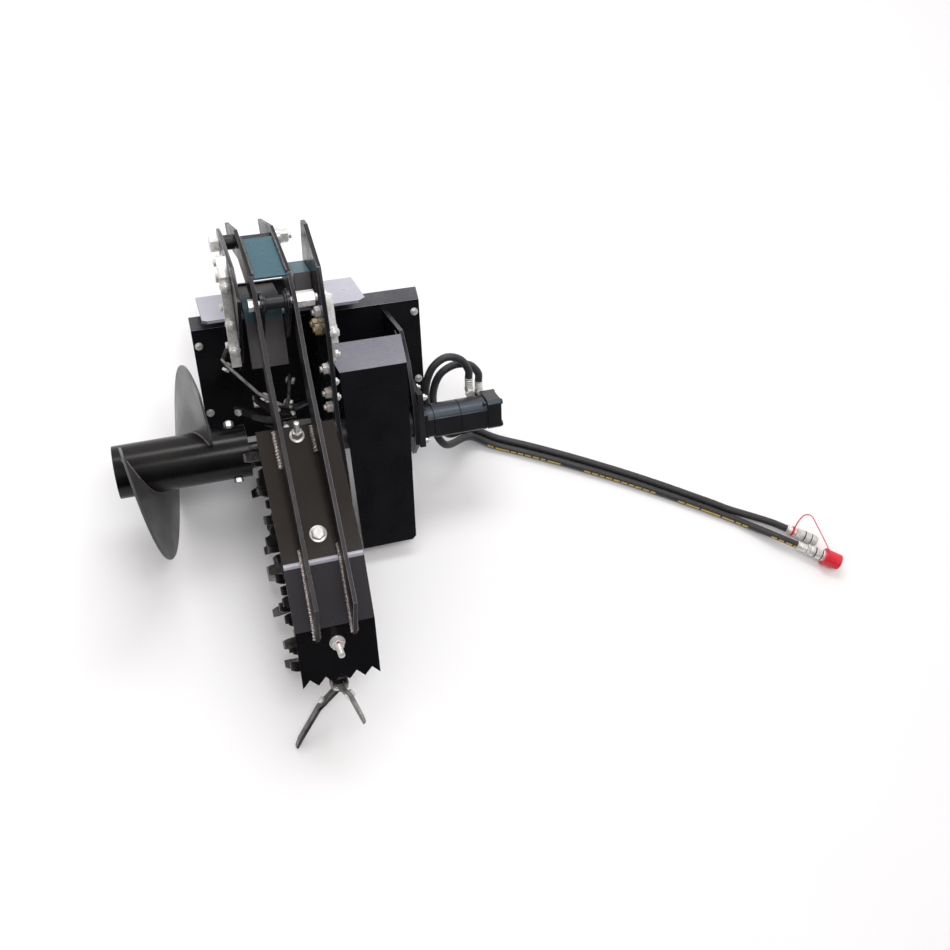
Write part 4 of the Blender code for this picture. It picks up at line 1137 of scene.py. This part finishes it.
def add_frame_bolts():
    zinc = bmesh.new()
    warm = bmesh.new()
    marks = bmesh.new()
    for x, z in ((-0.190, 0.214), (-0.190, 0.010), (0.429, 0.226), (0.429, 0.014)):
        put_bolt(zinc, (x, 0.255, z), (0, -1, 0), 0.0165, 0.007, 0.0115)
        put_bolt(zinc, (x, 0.265, z), (0, 1, 0), 0.0165, 0.007, 0.0115, 0.006)
    for y, z in ((-0.036, 0.086), (0.036, 0.086), (-0.040, -0.044), (0.040, -0.044)):
        put_bolt(zinc, (0.364, y, z), (1, 0, 0), 0.017, 0.008, 0.0110, 0.007)
    left = -0.1023
    for y, z in ((0.045, 0.470), (0.058, 0.385), (0.074, 0.275)):
        put_bolt(zinc, (left, y, z), (-1, 0, 0), 0.032, 0.015, 0.0200, 0.010)
    put_bolt(zinc, (-0.0941, 0.165, 0.470), (-1, 0, 0), 0.034, 0.017, 0.0210, 0.010)
    put_bolt(zinc, (-0.0941, 0.215, 0.410), (-1, 0, 0), 0.032, 0.015, 0.0200, 0.010)
    put_bolt(warm, (-0.0941, 0.125, 0.262), (-1, 0, 0), stud=0.012)
    put_bolt(warm, (-0.0941, 0.160, 0.205), (-1, 0, 0), stud=0.010)
    right = 0.1323
    for y, z in ((-0.045, 0.410), (-0.060, 0.335), (-0.072, 0.265)):
        put_bolt(zinc, (right, y, z), (1, 0, 0), 0.019, 0.009, 0.0130, 0.006)
    for y, z in ((-0.038, 0.372), (-0.074, 0.230), (-0.070, 0.160), (-0.070, 0.120), (-0.066, 0.060)):
        put_bolt(zinc, (0.1119, y, z), (-1, 0, 0), 0.027, 0.014, 0.0170, 0.008)
        put_mark(marks, (0.0958, y - 0.004, z + 0.008), (-1, 0, 0), 0.0045)
    for y, z in ((-0.020, 0.318), (0.024, 0.318)):
        put_bolt(warm, (0.1119, y, z), (-1, 0, 0), 0.027, 0.014, 0.0170, 0.006)
    for y, z in ((-0.056, 0.182), (-0.060, 0.140)):
        put_bolt(zinc, (0.1241, y, z), (1, 0, 0), 0.019, 0.010, 0.0125, 0.005)
    for turn in (20.0, 75.0, 140.0):
        aim = Vector((0.0, math.cos(math.radians(turn)), math.sin(math.radians(turn))))
        place = Vector((0.0982, PIVOT[0], PIVOT[1])) + aim * 0.013
        put_mark(marks, place, (1, 0, 0), 0.0042)
    add_piece("frame_fasteners", zinc, "frame", ZINC, bevel=0.0003, segments=1)
    add_piece("frame_fasteners_warm", warm, "frame", YELLOW_ZINC, bevel=0.0003, segments=1)
    add_piece("frame_torque_marks", marks, "frame", RED_MARK)


def add_link_straps():
    """The zinc straps that stand edge to edge with the link bars and face the nose."""
    bm = bmesh.new()
    for low, high, line in (
        (-0.1210, -0.0946, ((0.046, 0.520), (0.0225, 0.474), (0.0555, 0.250), (0.0660, 0.215))),
        (0.1246, 0.1430, ((-0.0600, 0.424), (-0.0665, 0.405), (-0.0865, 0.302))),
    ):
        front = [(y - 0.006, z) for y, z in line]
        put_prism(bm, [*front, *line[::-1]], low, high, lambda u, v, w: Vector((w, u, v)))
    add_piece("link_straps", bm, "frame", ZINC, bevel=0.0012)
    bolts = bmesh.new()
    left = [(-0.108, y, z) for y, z in ((0.0255, 0.450), (0.0405, 0.345), (0.0515, 0.270))]
    for x, y, z in (*left, (0.134, -0.080, 0.330)):
        put_bolt(bolts, (x, y - 0.0062, z), (0, -1, 0.15), 0.024, 0.013, 0.0150, 0.007)
    add_piece("link_strap_bolts", bolts, "frame", ZINC, bevel=0.0003, segments=1)


def add_stop_pin_fittings():
    """The sleeves, washers and big nuts along the stop pin."""
    y, z = STOP_PIN
    dark = bmesh.new()
    sleeve = ((0.0, 0.0), (0.0, 0.0185), (0.0015, 0.0200), (0.0280, 0.0200), (0.0295, 0.0185), (0.0295, 0.0))
    put_turned(dark, (-0.0832, y, z), (1, 0, 0), sleeve, 32)
    add_piece("stop_pin_sleeve", dark, "crumber", CAST)
    zinc = bmesh.new()
    put_bolt(zinc, (-0.0946, y, z), (-1, 0, 0), 0.038, 0.0235, 0.0235)
    collar = ((0.0, 0.0), (0.0, 0.0210), (0.0015, 0.0225), (0.0130, 0.0225), (0.0145, 0.0200), (0.0145, 0.0))
    put_turned(zinc, (0.0530, y, z), (1, 0, 0), collar, 32)
    put_bolt(zinc, (0.0670, y, z), (1, 0, 0), 0.034, 0.022, 0.0210, 0.010)
    add_piece("stop_pin_nuts", zinc, "crumber", ZINC, bevel=0.0004, segments=1)


def shoe_place(section, share):
    """A place and outward direction on the shoe's outer surface, on the centre plane."""
    (y1, z1), (y2, z2) = SHOE_LINE[section], SHOE_LINE[section + 1]
    along = Vector((0.0, y2 - y1, z2 - z1))
    return Vector((0.0, y1, z1)) + along * share, Vector((0.0, along.z, -along.y)).normalized()


def add_crumber_bolts():
    zinc = bmesh.new()
    marks = bmesh.new()
    place, out = shoe_place(0, 0.075)
    put_bolt(zinc, place, out, 0.024, 0.008, 0.0195)
    lean = Vector((0.0, -0.42, 0.91))
    put_bolt(zinc, place + out * 0.008, lean, 0.026, 0.014, 0.0, 0.034)
    place, out = shoe_place(0, 0.810)
    put_bolt(zinc, place, out, 0.031, 0.013, 0.0220)
    place, out = shoe_place(2, 0.30)
    put_bolt(zinc, place, out, 0.029, 0.015, 0.0200, 0.044)
    put_mark(marks, place + out * 0.0167 + Vector((0.0, 0.0, 0.0105)), out, 0.0040)
    add_piece("crumber_fasteners", zinc, "crumber", ZINC, bevel=0.0003, segments=1)
    add_piece("crumber_torque_marks", marks, "crumber", RED_MARK)


def add_shoe_bend_highlight():
    """A pale strip laid over the fold in the shoe: a painted highlight where the bend catches the light."""
    bm = bmesh.new()
    before, out = shoe_place(0, 1.0)
    after, turned = shoe_place(1, 0.0)
    down = Vector((0.0, out.z, -out.y))
    ahead = Vector((0.0, turned.z, -turned.y))
    if down.z > 0:
        down, ahead = -down, -ahead
    wide = 0.0070
    line = [before - down * wide + out * 0.0006]
    for share in (0.2, 0.4, 0.6, 0.8):
        lean = (out * (1 - share) + turned * share).normalized()
        line.append(before + (ahead * share - down * (1 - share)) * wide * 0.45 + lean * 0.0010)
    line.append(after + ahead * wide + turned * 0.0006)
    shape = [(v.y, v.z) for v in line]
    shape += [(v.y - out.y * 0.0009, v.z - out.z * 0.0009) for v in reversed(line)]
    for low, high in ((-0.0998, -0.0552), (-0.0398, 0.0398), (0.0552, 0.0998)):
        put_prism(bm, shape, low, high, lambda u, v, w: Vector((w, u, v)))
    add_piece("crumber_shoe_bend_highlight", bm, "crumber", BEND_HIGHLIGHT, smooth=60.0)


def add_bead(bm, points, radius, ripple):
    length = sum((b - a).length for a, b in zip(points, points[1:]))
    turns = length / ripple * 2 * math.pi
    steps = max(8, round(length / 0.0012))
    line = []
    for k in range(steps + 1):
        want = length * k / steps
        for a, b in zip(points, points[1:]):
            run = (b - a).length
            if want <= run + 1e-9:
                line.append(a.lerp(b, min(1.0, want / run)))
                break
            want -= run
    for k, point in enumerate(line):
        point.x += 0.0006 * math.sin(k * 2.3) + 0.0004 * math.sin(k * 0.71)
    put_tube(bm, line, lambda share: radius * (1.0 + 0.22 * math.sin(share * turns)), 8)


def add_crumber_welds():
    dark = bmesh.new()
    bright = bmesh.new()
    for side in (-1, 1):
        for face in (-1, 1):
            x = side * 0.0475 + face * 0.0068
            points = []
            for section, share in ((0, 0.90), (1, 0.0), (1, 1.0), (2, 0.16)):
                place, out = shoe_place(section, share)
                points.append(Vector((x, place.y, place.z)) + out * 0.0008)
            # Beads on one face of each arm take the painted highlight; those on the other face stay dark.
            add_bead(dark if face > 0 else bright, points, 0.0032 if face > 0 else 0.0044, 0.0052)
    # These beads along the shoe's top section also carry the painted highlight.
    for side, shares in ((-1, (0.02, 0.30)), (1, (0.02, 0.22))):
        points = []
        for share in shares:
            place, out = shoe_place(0, share)
            points.append(Vector((side * 0.0475 - 0.0078, place.y, place.z)) + out * 0.0012)
        add_bead(bright, points, 0.0062, 0.0085)
    for side in (-1, 1):
        edge = side * 0.0418
        for ends in (((-0.030, 0.4868), (0.078, 0.5075)), ((0.082, 0.5083), (0.178, 0.5255))):
            points = [Vector((edge, y, z + 0.0005)) for y, z in ends]
            add_bead(dark, points, 0.0026, 0.0050)
    add_piece("crumber_welds", dark, "crumber", WELD, smooth=70.0)
    add_piece("crumber_weld_highlights", bright, "crumber", WELD_HIGHLIGHT, smooth=70.0)


add_frame_bolts()
add_link_straps()
add_stop_pin_fittings()
add_crumber_bolts()
add_crumber_welds()
add_shoe_bend_highlight()


# ---------------------------------------------------------------------------- stage and light
def add_stage():
    bm = bmesh.new()
    bmesh.ops.create_grid(bm, x_segments=2, y_segments=2, size=30.0)
    mesh = bpy.data.meshes.new("floor")
    bm.to_mesh(mesh)
    bm.free()
    floor = bpy.data.objects.new("floor", mesh)
    floor.location.z = -0.0006
    bpy.context.scene.collection.objects.link(floor)
    look = Surface("pale_floor")
    pale = look.blend(look.spread(look.noise(1.2, 3.0), 0.0, 1.0), (0.93, 0.93, 0.93), (0.95, 0.95, 0.95))
    look.feed("Base Color", pale)
    look.feed("Roughness", 0.95)
    look.feed("Specular IOR Level", 0.1)
    mesh.materials.append(look.made)


def add_world():
    """A studio that is bright behind and above and dark low down in front."""
    world = bpy.data.worlds.new("studio")
    world.use_nodes = True
    bpy.context.scene.world = world
    nodes = world.node_tree.nodes
    links = world.node_tree.links
    place = nodes.new("ShaderNodeTexCoord")
    toward = nodes.new("ShaderNodeVectorMath")
    toward.operation = "DOT_PRODUCT"
    toward.inputs[1].default_value = (0.0, 1.0, 0.8)
    links.new(place.outputs["Generated"], toward.inputs[0])
    position = nodes.new("ShaderNodeMapRange")
    position.inputs["From Min"].default_value = -1.0
    position.inputs["From Max"].default_value = 1.3
    links.new(toward.outputs["Value"], position.inputs["Value"])
    ramp = nodes.new("ShaderNodeValToRGB")
    stops = ramp.color_ramp.elements
    stops[0].position = 0.10
    stops[0].color = (0.03, 0.03, 0.035, 1.0)
    stops[1].position = 1.0
    stops[1].color = (1.30, 1.30, 1.34, 1.0)
    for at, colour in ((0.36, (0.22, 0.22, 0.24)), (0.50, (0.85, 0.85, 0.90)), (0.78, (0.80, 0.74, 0.68))):
        stops.new(at).color = (*colour, 1.0)
    links.new(position.outputs["Result"], ramp.inputs["Fac"])
    links.new(ramp.outputs["Color"], nodes["Background"].inputs["Color"])
    nodes["Background"].inputs["Strength"].default_value = 1.0


def add_area(name, place, target, size, radiance, colour):
    """A soft box of a given brightness."""
    data = bpy.data.lights.new(name, "AREA")
    data.shape = "RECTANGLE"
    data.size, data.size_y = size
    data.energy = radiance * math.pi * size[0] * size[1]
    data.color = colour
    lamp = bpy.data.objects.new(name, data)
    bpy.context.scene.collection.objects.link(lamp)
    lamp.location = place
    lamp.rotation_euler = (Vector(target) - Vector(place)).to_track_quat("-Z", "Y").to_euler()


bpy.context.scene.view_settings.view_transform = "Standard"
add_stage()
add_world()
add_area("top_softbox", (0.25, -0.55, 3.6), (-0.05, -0.15, 0.2), (1.2, 0.8), 8.0, (1.0, 1.0, 1.0))
add_area("back_softbox", (0.5, 2.5, 3.7), (0.1, 0.0, 0.3), (2.6, 1.0), 8.0, (0.96, 0.97, 1.0))
add_area("left_softbox", (-3.6, 0.2, 1.6), (0.0, 0.0, 0.3), (1.6, 1.6), 2.0, (1.0, 0.99, 0.97))
